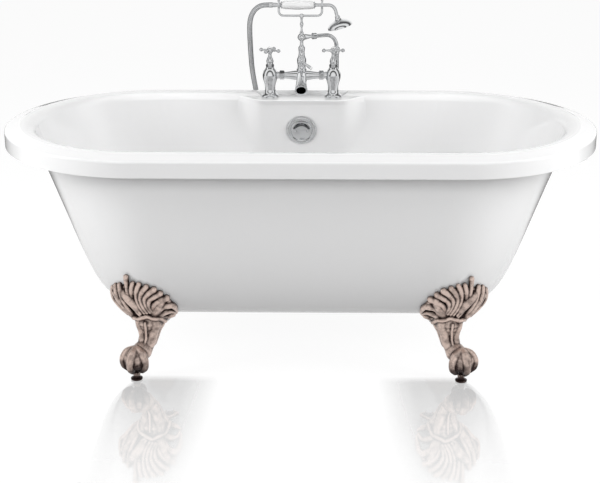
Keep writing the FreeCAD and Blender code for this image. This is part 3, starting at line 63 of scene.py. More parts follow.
class BathSettings(bpy.types.PropertyGroup):
    enamel: bpy.props.FloatVectorProperty(
        name="Enamel", description="Colour of the bath's enamel", subtype="COLOR",
        size=3, min=0, max=1, default=(0.84, 0.84, 0.842))
    copper: bpy.props.FloatVectorProperty(
        name="Copper", description="Worn, light copper on the high places of the feet",
        subtype="COLOR", size=3, min=0, max=1, default=(0.62, 0.49, 0.43))
    patina: bpy.props.FloatVectorProperty(
        name="Patina", description="Dark patina in the hollows of the feet", subtype="COLOR",
        size=3, min=0, max=1, default=(0.030, 0.016, 0.014))
    chrome: bpy.props.FloatVectorProperty(
        name="Chrome", description="Colour of the plated fittings", subtype="COLOR",
        size=3, min=0, max=1, default=(0.80, 0.81, 0.82))
    ceramic: bpy.props.FloatVectorProperty(
        name="Ceramic", description="Colour of the glazed grip and caps", subtype="COLOR",
        size=3, min=0, max=1, default=(0.78, 0.78, 0.78))


class HoseSettings(bpy.types.PropertyGroup):
    diameter: bpy.props.FloatProperty(
        name="Diameter", description="Outer diameter of the hose", subtype="DISTANCE",
        unit="LENGTH", default=0.015, min=0.008, max=0.02)
    pitch: bpy.props.FloatProperty(
        name="Pitch", description="Distance between the turns of the metal sleeve",
        subtype="DISTANCE", unit="LENGTH", default=0.0042, min=0.002, max=0.01)


class StudioSettings(bpy.types.PropertyGroup):
    turn: bpy.props.FloatProperty(
        name="Turn", description="Camera's turn round the bath, towards its right end",
        subtype="ANGLE", unit="ROTATION", default=math.radians(0.85), min=-math.pi, max=math.pi)
    height: bpy.props.FloatProperty(
        name="Camera height", description="Camera's height above the floor", subtype="DISTANCE",
        unit="LENGTH", default=1.4621, min=0.1, max=5)
    distance: bpy.props.FloatProperty(
        name="Camera distance", description="Level distance from the camera to the bath's middle",
        subtype="DISTANCE", unit="LENGTH", default=3.3013, min=1, max=10)
    lens: bpy.props.FloatProperty(
        name="Lens", description="Focal length of the camera", default=77.1, min=20, max=300)


def bath_settings():
    """The colours that the operators' materials start from."""
    return bpy.context.scene.bath_settings


# ================= materials =================

BRASS = (0.70, 0.55, 0.30)
HOSE_PLATE = (0.66, 0.67, 0.68)
ZINC = (0.52, 0.52, 0.54)
RUBBER_DARK = (0.02, 0.02, 0.021)
RUBBER = (0.035, 0.035, 0.037)
RUBBER_LIGHT = (0.05, 0.05, 0.052)
WHITE = (1.0, 1.0, 1.0, 1.0)
WHOLE = (0.0, 1.0)


def tone(colour, share):
    """A colour made darker or lighter by a share."""
    return tuple(min(1.0, part * share) for part in colour)


def grey(value):
    return (value,) * 3


class Nodes:
    """Short calls that build a node tree. They hand an output on as a (node, socket) pair."""

    def __init__(self, owner):
        owner.use_nodes = True
        self.tree = owner.node_tree
        self.tree.nodes.clear()

    def node(self, kind, sockets=None, **values):
        """A new node with the values of its sockets and its own properties."""
        made = self.tree.nodes.new(kind)
        for name, value in values.items():
            setattr(made, name, value)
        for name, value in (sockets or {}).items():
            made.inputs[name].default_value = value
        return made

    def link(self, source, target, socket):
        node, output = source
        self.tree.links.new(node.outputs[output], target.inputs[socket])

    def math(self, operation, *sources):
        made = self.node("ShaderNodeMath", operation=operation)
        for index, source in enumerate(sources):
            self.link(source, made, index)
        return made, "Value"

    def mix(self, factor, first, second):
        """Two shaders mixed by a number or by an output."""
        made = self.node("ShaderNodeMixShader")
        if isinstance(factor, tuple):
            self.link(factor, made, "Fac")
        else:
            made.inputs["Fac"].default_value = factor
        self.link(first, made, 1)
        self.link(second, made, 2)
        return made, "Shader"

    def split(self, source):
        """The node that takes a place or a direction apart."""
        made = self.node("ShaderNodeSeparateXYZ")
        self.link(source, made, "Vector")
        return made

    def ramp(self, source, stops):
        made = self.node("ShaderNodeValToRGB")
        elements = made.color_ramp.elements
        while len(elements) < len(stops):
            elements.new(0.5)
        for element, (position, colour) in zip(elements, stops):
            element.position = position
            element.color = (*colour, 1.0)
        self.link(source, made, "Fac")
        return made, "Color"

    def range(self, source, over, to):
        """An output led from one range over to another, and held at its ends."""
        made = self.node("ShaderNodeMapRange", {"From Min": over[0], "From Max": over[1],
                                                "To Min": to[0], "To Max": to[1]})
        self.link(source, made, "Value")
        return made, "Result"


class Finish(Nodes):
    """A material under construction: a principled shader and the object's own coordinates."""

    def __init__(self, name, colour, metallic=0.0, roughness=0.3, coat=None):
        self.material = bpy.data.materials.new(name)
        super().__init__(self.material)
        output = self.node("ShaderNodeOutputMaterial")
        self.shader = self.node("ShaderNodeBsdfPrincipled", {
            "Base Color": (*colour, 1.0), "Metallic": metallic, "Roughness": roughness})
        if coat:
            self.shader.inputs["Coat Weight"].default_value = coat[0]
            self.shader.inputs["Coat Roughness"].default_value = coat[1]
        self.link((self.shader, "BSDF"), output, "Surface")
        self.place = (self.node("ShaderNodeTexCoord"), "Object")

    def feed(self, socket, source):
        """Leads an output into the shader."""
        self.link(source, self.shader, socket)

    def noise(self, scale, detail=3.0, roughness=0.5, stretch=None):
        made = self.node("ShaderNodeTexNoise", {
            "Scale": scale, "Detail": detail, "Roughness": roughness})
        place = self.place
        if stretch:
            mapping = self.node("ShaderNodeMapping", {"Scale": stretch})
            self.link(place, mapping, "Vector")
            place = (mapping, "Vector")
        self.link(place, made, "Vector")
        return made, "Fac"

    def bump(self, source, distance, strength, below=None):
        made = self.node("ShaderNodeBump", {"Distance": distance, "Strength": strength})
        self.link(source, made, "Height")
        if below:
            self.link(below, made, "Normal")
        return made, "Normal"


def enamel():
    """Glossy vitreous enamel: slow ripples, faint clouding and a slightly uneven gloss."""
    colour = bath_settings().enamel
    finish = Finish("enamel", colour, roughness=0.09, coat=(0.5, 0.04))
    clouds = finish.noise(scale=2.2, detail=4.0)
    finish.feed("Base Color", finish.ramp(clouds, [(0.3, tone(colour, 0.985)),
                                                   (0.7, tuple(colour))]))
    gloss = finish.noise(scale=9.0, detail=3.0)
    finish.feed("Roughness", finish.range(gloss, over=WHOLE, to=(0.07, 0.13)))
    ripple = finish.bump(finish.noise(scale=7.0, detail=2.0), distance=0.0012, strength=0.25)
    peel = finish.bump(finish.noise(scale=190.0, detail=2.0), distance=0.00008, strength=0.3,
                       below=ripple)
    finish.feed("Normal", peel)
    return finish.material


def copper():
    """Antique copper: dark in the hollows and under the claws, rubbed pale on the high places."""
    light = tuple(bath_settings().copper)
    dark = tuple(bath_settings().patina)
    middle = tuple(a * 0.42 + b * 0.58 for a, b in zip(light, dark))
    finish = Finish("antique_copper", light, metallic=0.75, roughness=0.33)
    hollow = finish.node("ShaderNodeAmbientOcclusion", {"Distance": 0.022}, samples=8)
    edges = (finish.node("ShaderNodeNewGeometry"), "Pointiness")
    worn = finish.range(edges, over=(0.44, 0.56), to=(-0.62, 0.55))
    mottle = finish.range(finish.noise(scale=60.0, detail=5.0, roughness=0.6),
                          over=(0.3, 0.7), to=(-0.34, 0.12))
    # Darker towards the floor: the copper darkens from 66 mm above it down to 28 mm.
    height = (finish.split(finish.place), "Z")
    low_darkening = finish.range(height, over=(0.028, 0.066), to=(-0.62, 0.0))
    wear = finish.math("ADD", worn, mottle)
    wear = finish.math("ADD", wear, (hollow, "AO"))
    wear = finish.math("ADD", wear, low_darkening)
    finish.feed("Base Color", finish.ramp(wear, [(0.40, dark), (0.70, middle), (0.94, light),
                                                 (1.0, tone(light, 1.22))]))
    gloss = finish.noise(scale=120.0, detail=4.0)
    finish.feed("Roughness", finish.range(gloss, over=WHOLE, to=(0.24, 0.44)))
    marks = finish.noise(scale=95.0, detail=3.0, roughness=0.55, stretch=(1.0, 1.0, 0.22))
    chased = finish.bump(marks, distance=0.0022, strength=0.7)
    cast = finish.bump(finish.noise(scale=300.0, detail=4.0), distance=0.0005, strength=0.5,
                       below=chased)
    finish.feed("Normal", cast)
    return finish.material


def plating(name, colour, roughness, streak):
    """Metal with hairline wipe marks and a breath of tarnish."""
    finish = Finish(name, colour, metallic=1.0, roughness=roughness)
    haze = finish.noise(scale=35.0, detail=4.0)
    finish.feed("Base Color", finish.ramp(haze, [(0.25, tone(colour, 0.9)),
                                                 (0.7, tuple(colour))]))
    wipes = finish.noise(scale=60.0, detail=3.0, roughness=0.6, stretch=(1.0, 1.0, 9.0))
    finish.feed("Roughness", finish.range(wipes, over=WHOLE, to=(roughness, roughness + streak)))
    finish.feed("Normal", finish.bump(wipes, distance=0.00003, strength=0.3))
    return finish.material


def ceramic():
    """Glazed white ceramic with faint crazing."""
    colour = bath_settings().ceramic
    finish = Finish("glazed_ceramic", colour, roughness=0.12, coat=(0.7, 0.03))
    craze = finish.noise(scale=160.0, detail=4.0)
    finish.feed("Base Color", finish.ramp(craze, [(0.3, tone(colour, 0.97)),
                                                  (0.65, tuple(colour))]))
    wave = finish.noise(scale=90.0, detail=2.0)
    finish.feed("Normal", finish.bump(wave, distance=0.0002, strength=0.3))
    return finish.material


def rubber():
    """Dull black rubber with a fine grain."""
    finish = Finish("black_rubber", RUBBER, roughness=0.7)
    grain = finish.noise(scale=420.0, detail=3.0)
    finish.feed("Base Color", finish.ramp(grain, [(0.3, RUBBER_DARK), (0.7, RUBBER_LIGHT)]))
    finish.feed("Normal", finish.bump(grain, distance=0.0002, strength=0.5))
    return finish.material


def dress(material, *names):
    """Gives CAD nodes a finish."""
    for name in names:
        slots = NODES[name].data.materials
        slots.clear()
        slots.append(material)


def smooth(names, degrees=40):
    """Rounds the shading of CAD nodes without moving a point."""
    for name in names:
        mesh = NODES[name].data
        round_faces(mesh)
        mesh.set_sharp_from_angle(angle=math.radians(degrees))


def round_faces(mesh):
    mesh.polygons.foreach_set("use_smooth", [True] * len(mesh.polygons))


# ================= camera =================

CAMERA_AIM = Vector((0.0, -0.008, 0.2995))
SENSOR_WIDTH = 36.0


class BATH_OT_camera(bpy.types.Operator):
    """Sets up the camera at the photograph's angle"""
    bl_idname = "bath.camera"
    bl_label = "Camera"

    def execute(self, context):
        studio = context.scene.studio_settings
        place = Vector((studio.distance * math.sin(studio.turn),
                        CAMERA_AIM.y - studio.distance * math.cos(studio.turn), studio.height))
        data = bpy.data.cameras.new("camera")
        data.sensor_width = SENSOR_WIDTH
        data.lens = studio.lens
        camera = bpy.data.objects.new("camera", data)
        camera.location = place
        camera.rotation_euler = (CAMERA_AIM - place).to_track_quat("-Z", "Y").to_euler()
        context.scene.collection.objects.link(camera)
        context.scene.camera = camera
        return {"FINISHED"}


# ================= hose =================

# Control points of the hose, in metres, from the handset's connector to the swan neck's nut.
HOSE_ROUTE = (
    (-0.092, 0.303, 0.892), (-0.1087, 0.303, 0.892), (-0.124, 0.304, 0.8852),
    (-0.137, 0.306, 0.872), (-0.146, 0.3095, 0.849), (-0.1474, 0.319, 0.814),
    (-0.1472, 0.35, 0.757), (-0.1454, 0.3795, 0.697), (-0.138, 0.402, 0.64), (-0.127, 0.4082, 0.58),
    (-0.1245, 0.4102, 0.48), (-0.1265, 0.4082, 0.36), (-0.125, 0.4087, 0.2436),
    (-0.0594, 0.4082, 0.178), (0.0334, 0.4082, 0.178), (0.099, 0.4087, 0.2436),
    (0.0975, 0.4097, 0.35), (0.0995, 0.4087, 0.46), (0.098, 0.4082, 0.56), (0.0985, 0.4062, 0.622),
    (0.099, 0.3968, 0.6504), (0.099, 0.3798, 0.6765), (0.099, 0.3645, 0.699),
    (0.099, 0.3525, 0.7158), (0.099, 0.3479, 0.7301), (0.099, 0.3479, 0.745),
)
# Radius of the sleeve at each step along one of its turns, as a share of the hose's.
SLEEVE_TURN = (0.86, 0.97, 1.0, 0.97)
SLEEVE_SIDES = 20
# A direction that no line starts along.
NO_WAY = (0, 1, 0.01)


def hose_line():
    """Points along the smooth line that the hose follows."""
    curve = bpy.data.curves.new("hose_line", "CURVE")
    curve.dimensions = "3D"
    curve.resolution_u = 24
    spline = curve.splines.new("NURBS")
    spline.points.add(len(HOSE_ROUTE) - 1)
    for point, place in zip(spline.points, HOSE_ROUTE):
        point.co = (*place, 1.0)
    spline.order_u = 3
    spline.use_endpoint_u = True
    holder = bpy.data.objects.new("hose_line", curve)
    bpy.context.scene.collection.objects.link(holder)
    bpy.context.view_layer.update()
    mesh = bpy.data.meshes.new_from_object(holder)
    points = [vertex.co.copy() for vertex in mesh.vertices]
    bpy.data.objects.remove(holder)
    bpy.data.meshes.remove(mesh)
    return points


def evenly(points, step):
    """The same line with its points about a step apart, and its length."""
    lengths = [0.0]
    for a, b in zip(points, points[1:]):
        lengths.append(lengths[-1] + (b - a).length)
    count = max(2, round(lengths[-1] / step))
    placed = []
    k = 0
    for i in range(count + 1):
        want = lengths[-1] * i / count
        while k < len(lengths) - 2 and lengths[k + 1] < want:
            k += 1
        span = lengths[k + 1] - lengths[k]
        share = (want - lengths[k]) / span if span else 0.0
        placed.append(points[k].lerp(points[k + 1], share))
    return placed, lengths[-1]


def tube(bm, line, radii, sides):
    """Adds a closed round tube along a line, with one radius for each of its points."""
    side = Vector(NO_WAY)
    rings = []
    for i, (point, radius) in enumerate(zip(line, radii)):
        way = (line[min(i + 1, len(line) - 1)] - line[max(i - 1, 0)]).normalized()
        side = (side - way * side.dot(way)).normalized()
        over = way.cross(side)
        rings.append([bm.verts.new(point + (side * math.cos(2 * math.pi * k / sides)
                                            + over * math.sin(2 * math.pi * k / sides)) * radius)
                      for k in range(sides)])
    for low, high in zip(rings, rings[1:]):
        for k in range(sides):
            bm.faces.new((low[k], low[(k + 1) % sides], high[(k + 1) % sides], high[k]))
    bm.faces.new(reversed(rings[0]))
    bm.faces.new(rings[-1])


class BATH_OT_hose(bpy.types.Operator):
    """Makes the wound metal hose from the handset round behind the bath to the swan neck"""
    bl_idname = "bath.hose"
    bl_label = "Hose"

    def sleeve(self, context, line, radii):
        """The wound sleeve as a piece of its own."""
        bm = bmesh.new()
        tube(bm, line, radii, SLEEVE_SIDES)
        mesh = bpy.data.meshes.new("hose_sleeve")
        bm.to_mesh(mesh)
        bm.free()
        round_faces(mesh)
        mesh.materials.append(plating("hose_metal", HOSE_PLATE, roughness=0.14, streak=0.08))
        piece = bpy.data.objects.new("hose_sleeve", mesh)
        context.scene.collection.objects.link(piece)
        return piece

    def execute(self, context):
        settings = context.scene.hose_settings
        line, length = evenly(hose_line(), settings.pitch / len(SLEEVE_TURN))
        radius = settings.diameter / 2
        radii = [radius * SLEEVE_TURN[i % len(SLEEVE_TURN)] for i in range(len(line))]
        piece = self.sleeve(context, line, radii)
        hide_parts("hose")
        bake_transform(piece)
        return {"FINISHED"}


# ================= bath body =================

class BATH_OT_body(bpy.types.Operator):
    """Finishes the enamelled bath"""
    bl_idname = "bath.body"
    bl_label = "Bath body"

    def execute(self, context):
        smooth(["bath_shell"], degrees=35)
        dress(enamel(), "bath_shell")
        return {"FINISHED"}


# ================= feet =================

# The foot under the back right corner stands at FOOT_PLACE, turned by FOOT_TURN. In its own frame
# X points outwards, Y along the wall and Z up, with the origin under the ball, in millimetres.
# A stroke is a row of (x, y, z, radius).
FOOT_PLACE = (425.0, 250.0)
FOOT_TURN = math.radians(50)
# The knob and the ridges that sweep down from the leaf's edge to the collar.
LEAF_RIDGES = (
    ((24.4, 4.0, 294.8, 7.5), (20.1, -0.5, 282.0, 7.0), (16.7, -2.9, 267.9, 6.5),
     (9.5, -7.8, 247.7, 7.0), (-1.7, -14.5, 224.6, 7.0), (-11.0, -14.6, 201.4, 6.5),
     (-12.6, -2.6, 188.1, 5.5), (-14.2, 7.6, 178.6, 4.5)),
    ((9.5, -65.2, 244.9, 7.0), (1.4, -75.9, 226.5, 8.0), (-5.8, -78.7, 206.4, 8.0),
     (-8.9, -62.4, 189.3, 7.5), (-25.2, -51.0, 164.5, 6.0)),
    ((14.5, -47.8, 255.5, 7.5), (12.6, -47.6, 238.3, 8.5), (7.1, -46.4, 216.7, 8.0),
     (1.2, -36.6, 197.2, 6.5), (-21.4, -33.4, 166.2, 5.0)),
    ((16.6, -30.7, 262.6, 7.0), (15.0, -29.7, 245.7, 7.5), (9.0, -31.1, 223.4, 7.0),
     (0.2, -25.8, 199.8, 6.0), (-21.2, -21.1, 168.6, 5.0)),
    ((13.3, 15.9, 276.9, 7.0), (12.1, 9.6, 258.2, 7.0), (0.5, -2.9, 231.5, 6.0),
     (-7.2, 1.0, 206.8, 5.5), (-14.8, 10.1, 183.4, 4.5)),
    ((6.7, 32.2, 276.6, 7.0), (8.2, 24.7, 259.9, 7.0), (0.5, 12.2, 235.4, 5.5),
     (-7.8, 12.1, 210.6, 5.0), (-17.7, 19.7, 187.2, 4.5)),
    ((-4.0, 47.2, 270.4, 8.0), (1.3, 37.0, 256.8, 7.5), (-2.9, 23.4, 235.2, 5.5),
     (-10.6, 21.3, 211.1, 5.0), (-21.7, 26.2, 188.4, 4.5)),
    ((-15.3, 62.1, 263.6, 9.0), (-8.6, 48.8, 251.2, 8.0), (-9.2, 32.7, 232.6, 6.0),
     (-15.8, 29.0, 211.6, 5.0), (-26.7, 31.5, 189.1, 4.5)),
    ((-28.8, 70.5, 251.3, 9.0), (-20.0, 58.8, 242.9, 8.5), (-17.2, 41.8, 226.6, 6.5),
     (-22.4, 34.2, 206.7, 5.5), (-34.1, 35.8, 187.1, 5.0)),
    ((-43.6, 78.2, 236.2, 9.5), (-34.5, 66.2, 229.9, 9.5), (-28.1, 51.0, 217.3, 7.5),
     (-32.4, 39.2, 199.2, 6.0), (-42.5, 38.9, 182.5, 5.0)),
    ((-94.1, 62.5, 179.2, 3.5), (-69.6, 77.2, 205.1, 8.0), (-54.3, 72.8, 212.9, 11.0),
     (-46.4, 55.2, 203.8, 9.0), (-49.5, 40.9, 186.2, 7.0)),
    ((-102.1, 51.5, 170.0, 3.5), (-94.1, 39.4, 163.6, 8.0), (-82.0, 29.6, 161.0, 9.0),
     (-57.7, 39.7, 166.1, 7.0)),
)
# The leaf's web under the ends of its ridges, and the hollow between its blade and the collar.
LEAF_FILL = (
    ((2.5, -62.0, 240.0, 5.5), (6.0, -45.0, 249.0, 6.0), (8.0, -22.0, 257.0, 6.0),
     (7.5, 2.0, 262.0, 6.0), (3.0, 20.0, 266.0, 6.0), (-4.0, 36.0, 263.0, 6.0),
     (-15.0, 51.0, 256.0, 6.5), (-28.0, 64.0, 246.0, 7.0), (-45.0, 73.0, 232.0, 7.0),
     (-66.0, 74.0, 211.0, 6.5), (-86.0, 66.0, 192.0, 5.0)),
    ((-94.0, 56.0, 174.0, 3.5), (-80.0, 58.0, 184.0, 7.0), (-66.0, 48.0, 184.0, 10.0),
     (-56.0, 36.0, 176.0, 11.0)),
)
# What stands behind the leaf.
KNEE = (
    ((-54, 0, 150, 36), (-54, 0, 170, 38), (-54, 0, 188, 40), (-54, 0, 204, 43), (-52, 0, 220, 46)),
    ((9.6, -30.4, 245.0, 12), (-2.2, -10.0, 221.3, 16), (-24.0, 0.0, 195.0, 18)),
    ((-37.1, 67.9, 233.4, 12), (-42.0, 49.5, 209.4, 15), (-45.0, 26.9, 186.7, 18)),
    ((2.1, -60.7, 228.5, 12), (-18.3, -58.5, 195.0, 15), (-37.6, -42.8, 168.0, 16)),
    ((2.0, -42.0, 215.0, 13), (-18.0, -34.0, 185.0, 17), (-36.0, -24.0, 165.0, 18)),
)
LEG = (
    ((-54, 0, 152, 38), (-54, 0, 141, 35), (-51.5, 0, 128.6, 28), (-48.4, 0, 108.2, 22.5),
     (-40.7, 0, 89.3, 21), (-24, 0, 74, 26)),
)
BALL = (
    ((0, 0, 61, 31.5), (0, 0, 56, 31)),
)
# The boss that the levelling screw runs into.
BOSS = (
    ((0, 0, 45, 12), (0, 0, 33, 12)),
)
# The collar round the leg, as (angle, height), and what it is drawn with.
COLLAR_WAVE = ((-90, 150), (-72, 152), (-50, 156), (-30, 162), (-10, 167), (5, 168), (22, 173),
               (40, 177), (55, 172), (70, 169), (85, 167), (100, 160), (118, 151), (140, 150))
COLLAR_CENTRE, COLLAR_REACH, COLLAR_RADIUS = -54, 42, 5.5
# The leg's middle line as (x, z, radius), and the strands on it as (angle, radius, proud).
LEG_SPINE = ((-54, 158, 37), (-54, 143, 35), (-51.5, 128.6, 28), (-48.4, 108.2, 22.5),
             (-42, 93, 21))
LEG_STRANDS = ((-70, 12, 5), (-14, 12, 5), (29, 3.4, 4.5), (78, 15, 6), (135, 13, 5))
# The angles of the toes round the ball, and their common path as (reach, height, radius).
TOES = (-52, 20, 92, 200)
TOE_PATH = ((-12, 80, 9), (4, 83, 12), (21, 76, 12.5), (31.5, 63, 10.5), (34.5, 51, 9),
            (31, 40, 9.5), (24, 30, 6.5), (15, 24, 3))
# The plate that the bolts hold to the bath's lug.
PLATE_SIZE = (74, 36, 9)
PLATE_MIDDLE = (-93, 0, 145.5)

STROKE_STEPS = 6
STROKE_SIDES = 24
CAP_ANGLES = (18, 36, 54, 72, 86)
SKIN_VOXEL = 0.0015
SKIN_SOFTENING, SKIN_PASSES = 0.5, 3
WALL_DEPTH = 0.003
FAR_OUT = 0.4


def stroke(points):
    """A smooth line through the places of a stroke, with its radii, rounded at both ends."""
    places = [Vector(point[:3]) for point in points]
    widths = [point[3] for point in points]
    line, radii = [], []
    last = len(points) - 1
    for i in range(last):
        leave = (places[i + 1] - places[max(i - 1, 0)]) / 2
        reach = (places[min(i + 2, last)] - places[i]) / 2
        for step in range(STROKE_STEPS):
            share = step / STROKE_STEPS
            bend = share * share * (3 - 2 * share)
            line.append(places[i] * (1 - bend) + places[i + 1] * bend
                        + leave * (share * (1 - share) ** 2) - reach * (share ** 2 * (1 - share)))
            radii.append(widths[i] * (1 - bend) + widths[i + 1] * bend)
    line.append(places[-1])
    radii.append(widths[-1])
    turns = [math.radians(angle) for angle in CAP_ANGLES]

    def cap(end, before, radius):
        way = (end - before).normalized()
        return [(end + way * radius * math.sin(turn), radius * math.cos(turn)) for turn in turns]

    start = cap(line[0], line[1], radii[0])[::-1]
    end = cap(line[-1], line[-2], radii[-1])
    whole = start + list(zip(line, radii)) + end
    return [place for place, _ in whole], [radius for _, radius in whole]


def around(angle, centre, reach, height):
    """A place at an angle and reach from an upright line, in the foot's own frame."""
    turn = math.radians(angle)
    return centre + reach * math.cos(turn), reach * math.sin(turn), height


def foot_strokes():
    """All strokes of one foot: leaf, knee, leg, ball, collar, the leg's strands and the toes."""
    strokes = list(LEAF_RIDGES + LEAF_FILL + KNEE + LEG + BALL + BOSS)
    strokes.append([(*around(angle, COLLAR_CENTRE, COLLAR_REACH, height), COLLAR_RADIUS)
                    for angle, height in COLLAR_WAVE])
    for angle, radius, proud in LEG_STRANDS:
        strokes.append([(*around(angle, centre, wide + proud - radius, height), radius)
                        for centre, height, wide in LEG_SPINE])
    for angle in TOES:
        strokes.append([(*around(angle, 0, reach, height), radius)
                        for reach, height, radius in TOE_PATH])
    return strokes


def outside(point, shell):
    """The point moved to just under the bath's skin, if it lies farther inside than that."""
    across = Vector((math.cos(FOOT_TURN), math.sin(FOOT_TURN), 0))
    wall = shell.ray_cast(point + across * FAR_OUT, -across)[0]
    under = shell.ray_cast(Vector((point.x, point.y, 0)), Vector((0, 0, 1)))[0]
    if wall is None or under is None:
        return point
    sunk = (wall - point).dot(across) - WALL_DEPTH
    risen = point.z - under.z - WALL_DEPTH
    if sunk <= 0 or risen <= 0:
        return point
    return point + across * sunk if sunk < risen else point - Vector((0, 0, risen))


def rough_foot():
    """The strokes and the plate of one foot, still as separate closed forms, in metres."""
    bm = bmesh.new()
    for points in foot_strokes():
        tube(bm, *stroke(points), STROKE_SIDES)
    for vertex in bmesh.ops.create_cube(bm, size=1)["verts"]:
        vertex.co = [part * size + middle
                     for part, size, middle in zip(vertex.co, PLATE_SIZE, PLATE_MIDDLE)]
    turn = Matrix.Translation((*FOOT_PLACE, 0)) @ Matrix.Rotation(FOOT_TURN, 4, "Z")
    bm.transform(Matrix.Scale(0.001, 4) @ turn)
    mesh = bpy.data.meshes.new("foot_strokes")
    bm.to_mesh(mesh)
    bm.free()
    return mesh


def foot_mesh():
    """The casting under the back right corner, as one skin that stays outside the bath."""
    rough = rough_foot()
    holder = bpy.data.objects.new("foot_strokes", rough)
    bpy.context.scene.collection.objects.link(holder)
    skin = holder.modifiers.new("skin", "REMESH")
    skin.mode = "VOXEL"
    skin.voxel_size = SKIN_VOXEL
    soft = holder.modifiers.new("soft", "SMOOTH")
    soft.factor = SKIN_SOFTENING
    soft.iterations = SKIN_PASSES
    bpy.context.view_layer.update()
    graph = bpy.context.evaluated_depsgraph_get()
    made = bpy.data.meshes.new_from_object(holder.evaluated_get(graph))
    bpy.data.objects.remove(holder)
    bpy.data.meshes.remove(rough)
    shell = NODES["bath_shell"]
    tree = BVHTree.FromPolygons([shell.matrix_world @ v.co for v in shell.data.vertices],
                                [tuple(face.vertices) for face in shell.data.polygons])
    for vertex in made.vertices:
        vertex.co = outside(vertex.co, tree)
    return made


class BATH_OT_feet(bpy.types.Operator):
    """Makes the cast claw feet and finishes their levelling screws and bolts"""
    bl_idname = "bath.feet"
    bl_label = "Claw feet"

    def casting(self, context, mesh, corner, metal):
        """One foot, mirrored from the back right one."""
        depth, side = corner.split("_")
        across = 1 if side == "right" else -1
        along = 1 if depth == "back" else -1
        own = mesh.copy()
        own.transform(Matrix.Diagonal((across, along, 1, 1)))
        if across * along < 0:
            own.flip_normals()
        own.name = f"foot_casting_{corner}"
        round_faces(own)
        piece = bpy.data.objects.new(own.name, own)
        context.scene.collection.objects.link(piece)
        own.materials.append(metal)
        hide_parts(f"claw_foot_{corner}")
        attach(piece, "bath")

    def execute(self, context):
        metal = copper()
        mesh = foot_mesh()
        steel = plating("zinc_plate", ZINC, roughness=0.3, streak=0.15)
        for corner in FEET:
            self.casting(context, mesh, corner, metal)
            smooth([f"levelling_foot_{corner}"], degrees=50)
            dress(metal, f"levelling_foot_{corner}")
        smooth(["foot_bolts", "foot_washers", "foot_locknuts"], degrees=30)
        dress(steel, "foot_bolts", "foot_washers")
        dress(metal, "foot_locknuts")
        return {"FINISHED"}


# ================= fittings =================

class BATH_OT_waste(bpy.types.Operator):
    """Finishes the waste, the overflow and their pipe"""
    bl_idname = "bath.waste"
    bl_label = "Waste and overflow"

    def execute(self, context):
        plated = ["waste_flange", "waste_plug", "waste_tee", "overflow_plate", "overflow_screws",
                  "overflow_elbow", "overflow_pipe"]
        seals = ["waste_gaskets", "overflow_gasket"]
        smooth(plated + seals)
        dress(plating("chrome_waste", bath_settings().chrome, roughness=0.10, streak=0.08), *plated)
        dress(rubber(), *seals)
        return {"FINISHED"}


class BATH_OT_mixer(bpy.types.Operator):
    """Finishes the deck mixer, its handles and the cradle"""
    bl_idname = "bath.mixer"
    bl_label = "Mixer"

    def execute(self, context):
        plated = ["hot_pillar", "cold_pillar", "hot_bonnet", "cold_bonnet", "hot_handle",
                  "cold_handle", "centre_body", "union_nuts", "diverter_body", "diverter_lever",
                  "riser", "ball_joint", "swan_neck", "swan_neck_nut", "hose_nut", "cradle_stem",
                  "cradle"]
        brass = ["tap_backnuts", "hot_spindle", "cold_spindle"]
        caps = ["hot_index", "cold_index", "diverter_tip"]
        smooth(plated + brass + caps + ["tap_washers"])
        dress(plating("chrome", bath_settings().chrome, roughness=0.05, streak=0.05), *plated)
        dress(plating("thread_brass", BRASS, roughness=0.28, streak=0.15), *brass)
        dress(bpy.data.materials["black_rubber"], "tap_washers")
        dress(ceramic(), *caps)
        return {"FINISHED"}


class BATH_OT_handset(bpy.types.Operator):
    """Finishes the handset"""
    bl_idname = "bath.handset"
    bl_label = "Handset"

    def execute(self, context):
        plated = ["handset_tube", "handset_ferrules", "handset_connector", "rose", "rose_plate"]
        smooth(plated + ["handset_grip"])
        dress(bpy.data.materials["chrome"], *plated)
        dress(bpy.data.materials["glazed_ceramic"], "handset_grip")
        return {"FINISHED"}


# ================= studio =================

# Lamps as (name, place, aim, size, power), in metres and watts.
LAMPS = (
    ("overhead", (0.0, -0.2, 2.7), (0, 0, 0.5), (2.6, 1.6), 8),
    ("key", (0.0, -2.8, 1.9), (0, 0, 0.45), (2.4, 1.0), 27),
    ("left_box", (-2.6, -0.7, 1.5), (0, 0, 0.4), (1.2, 1.8), 50),
    ("right_box", (2.6, -0.7, 1.5), (0, 0, 0.4), (1.2, 1.8), 50),
)
WORLD_LIGHT = 0.38
# What the fittings mirror of the room, from straight in front (0) to straight behind (1).
ROOM_STOPS = ((0.0, 0.95), (0.09, 0.85), (0.15, 0.07), (0.22, 0.10), (0.30, 1.0), (0.50, 0.85),
              (0.58, 0.08), (0.74, 0.12), (0.92, 1.0))
FLOOR_REACH = 9.0
FLOOR_GLOW, GLOW_SHARE = 1.06, 0.86
FLOOR_MATT, FLOOR_BOUNCE = 0.9, 0.45
POLISH_ROUGHNESS = 0.035
# The polished places on the floor, in metres: each edge fades over a pair of distances.
POLISH_INNER = (0.20, 0.30)
POLISH_OUTER = (0.54, 0.66)
POLISH_BACK = (-0.262, -0.225)
POLISH_FRONT, POLISH_SHARE = (-1.0, -0.30), (0.12, 0.46)
# What the fittings mirror of the floor, from behind the bath (0) to under it (1).
FLOOR_BEHIND = (0.55, 1.05)
FLOOR_STOPS = ((0.0, 0.10), (0.5, 0.30), (1.0, 0.82))


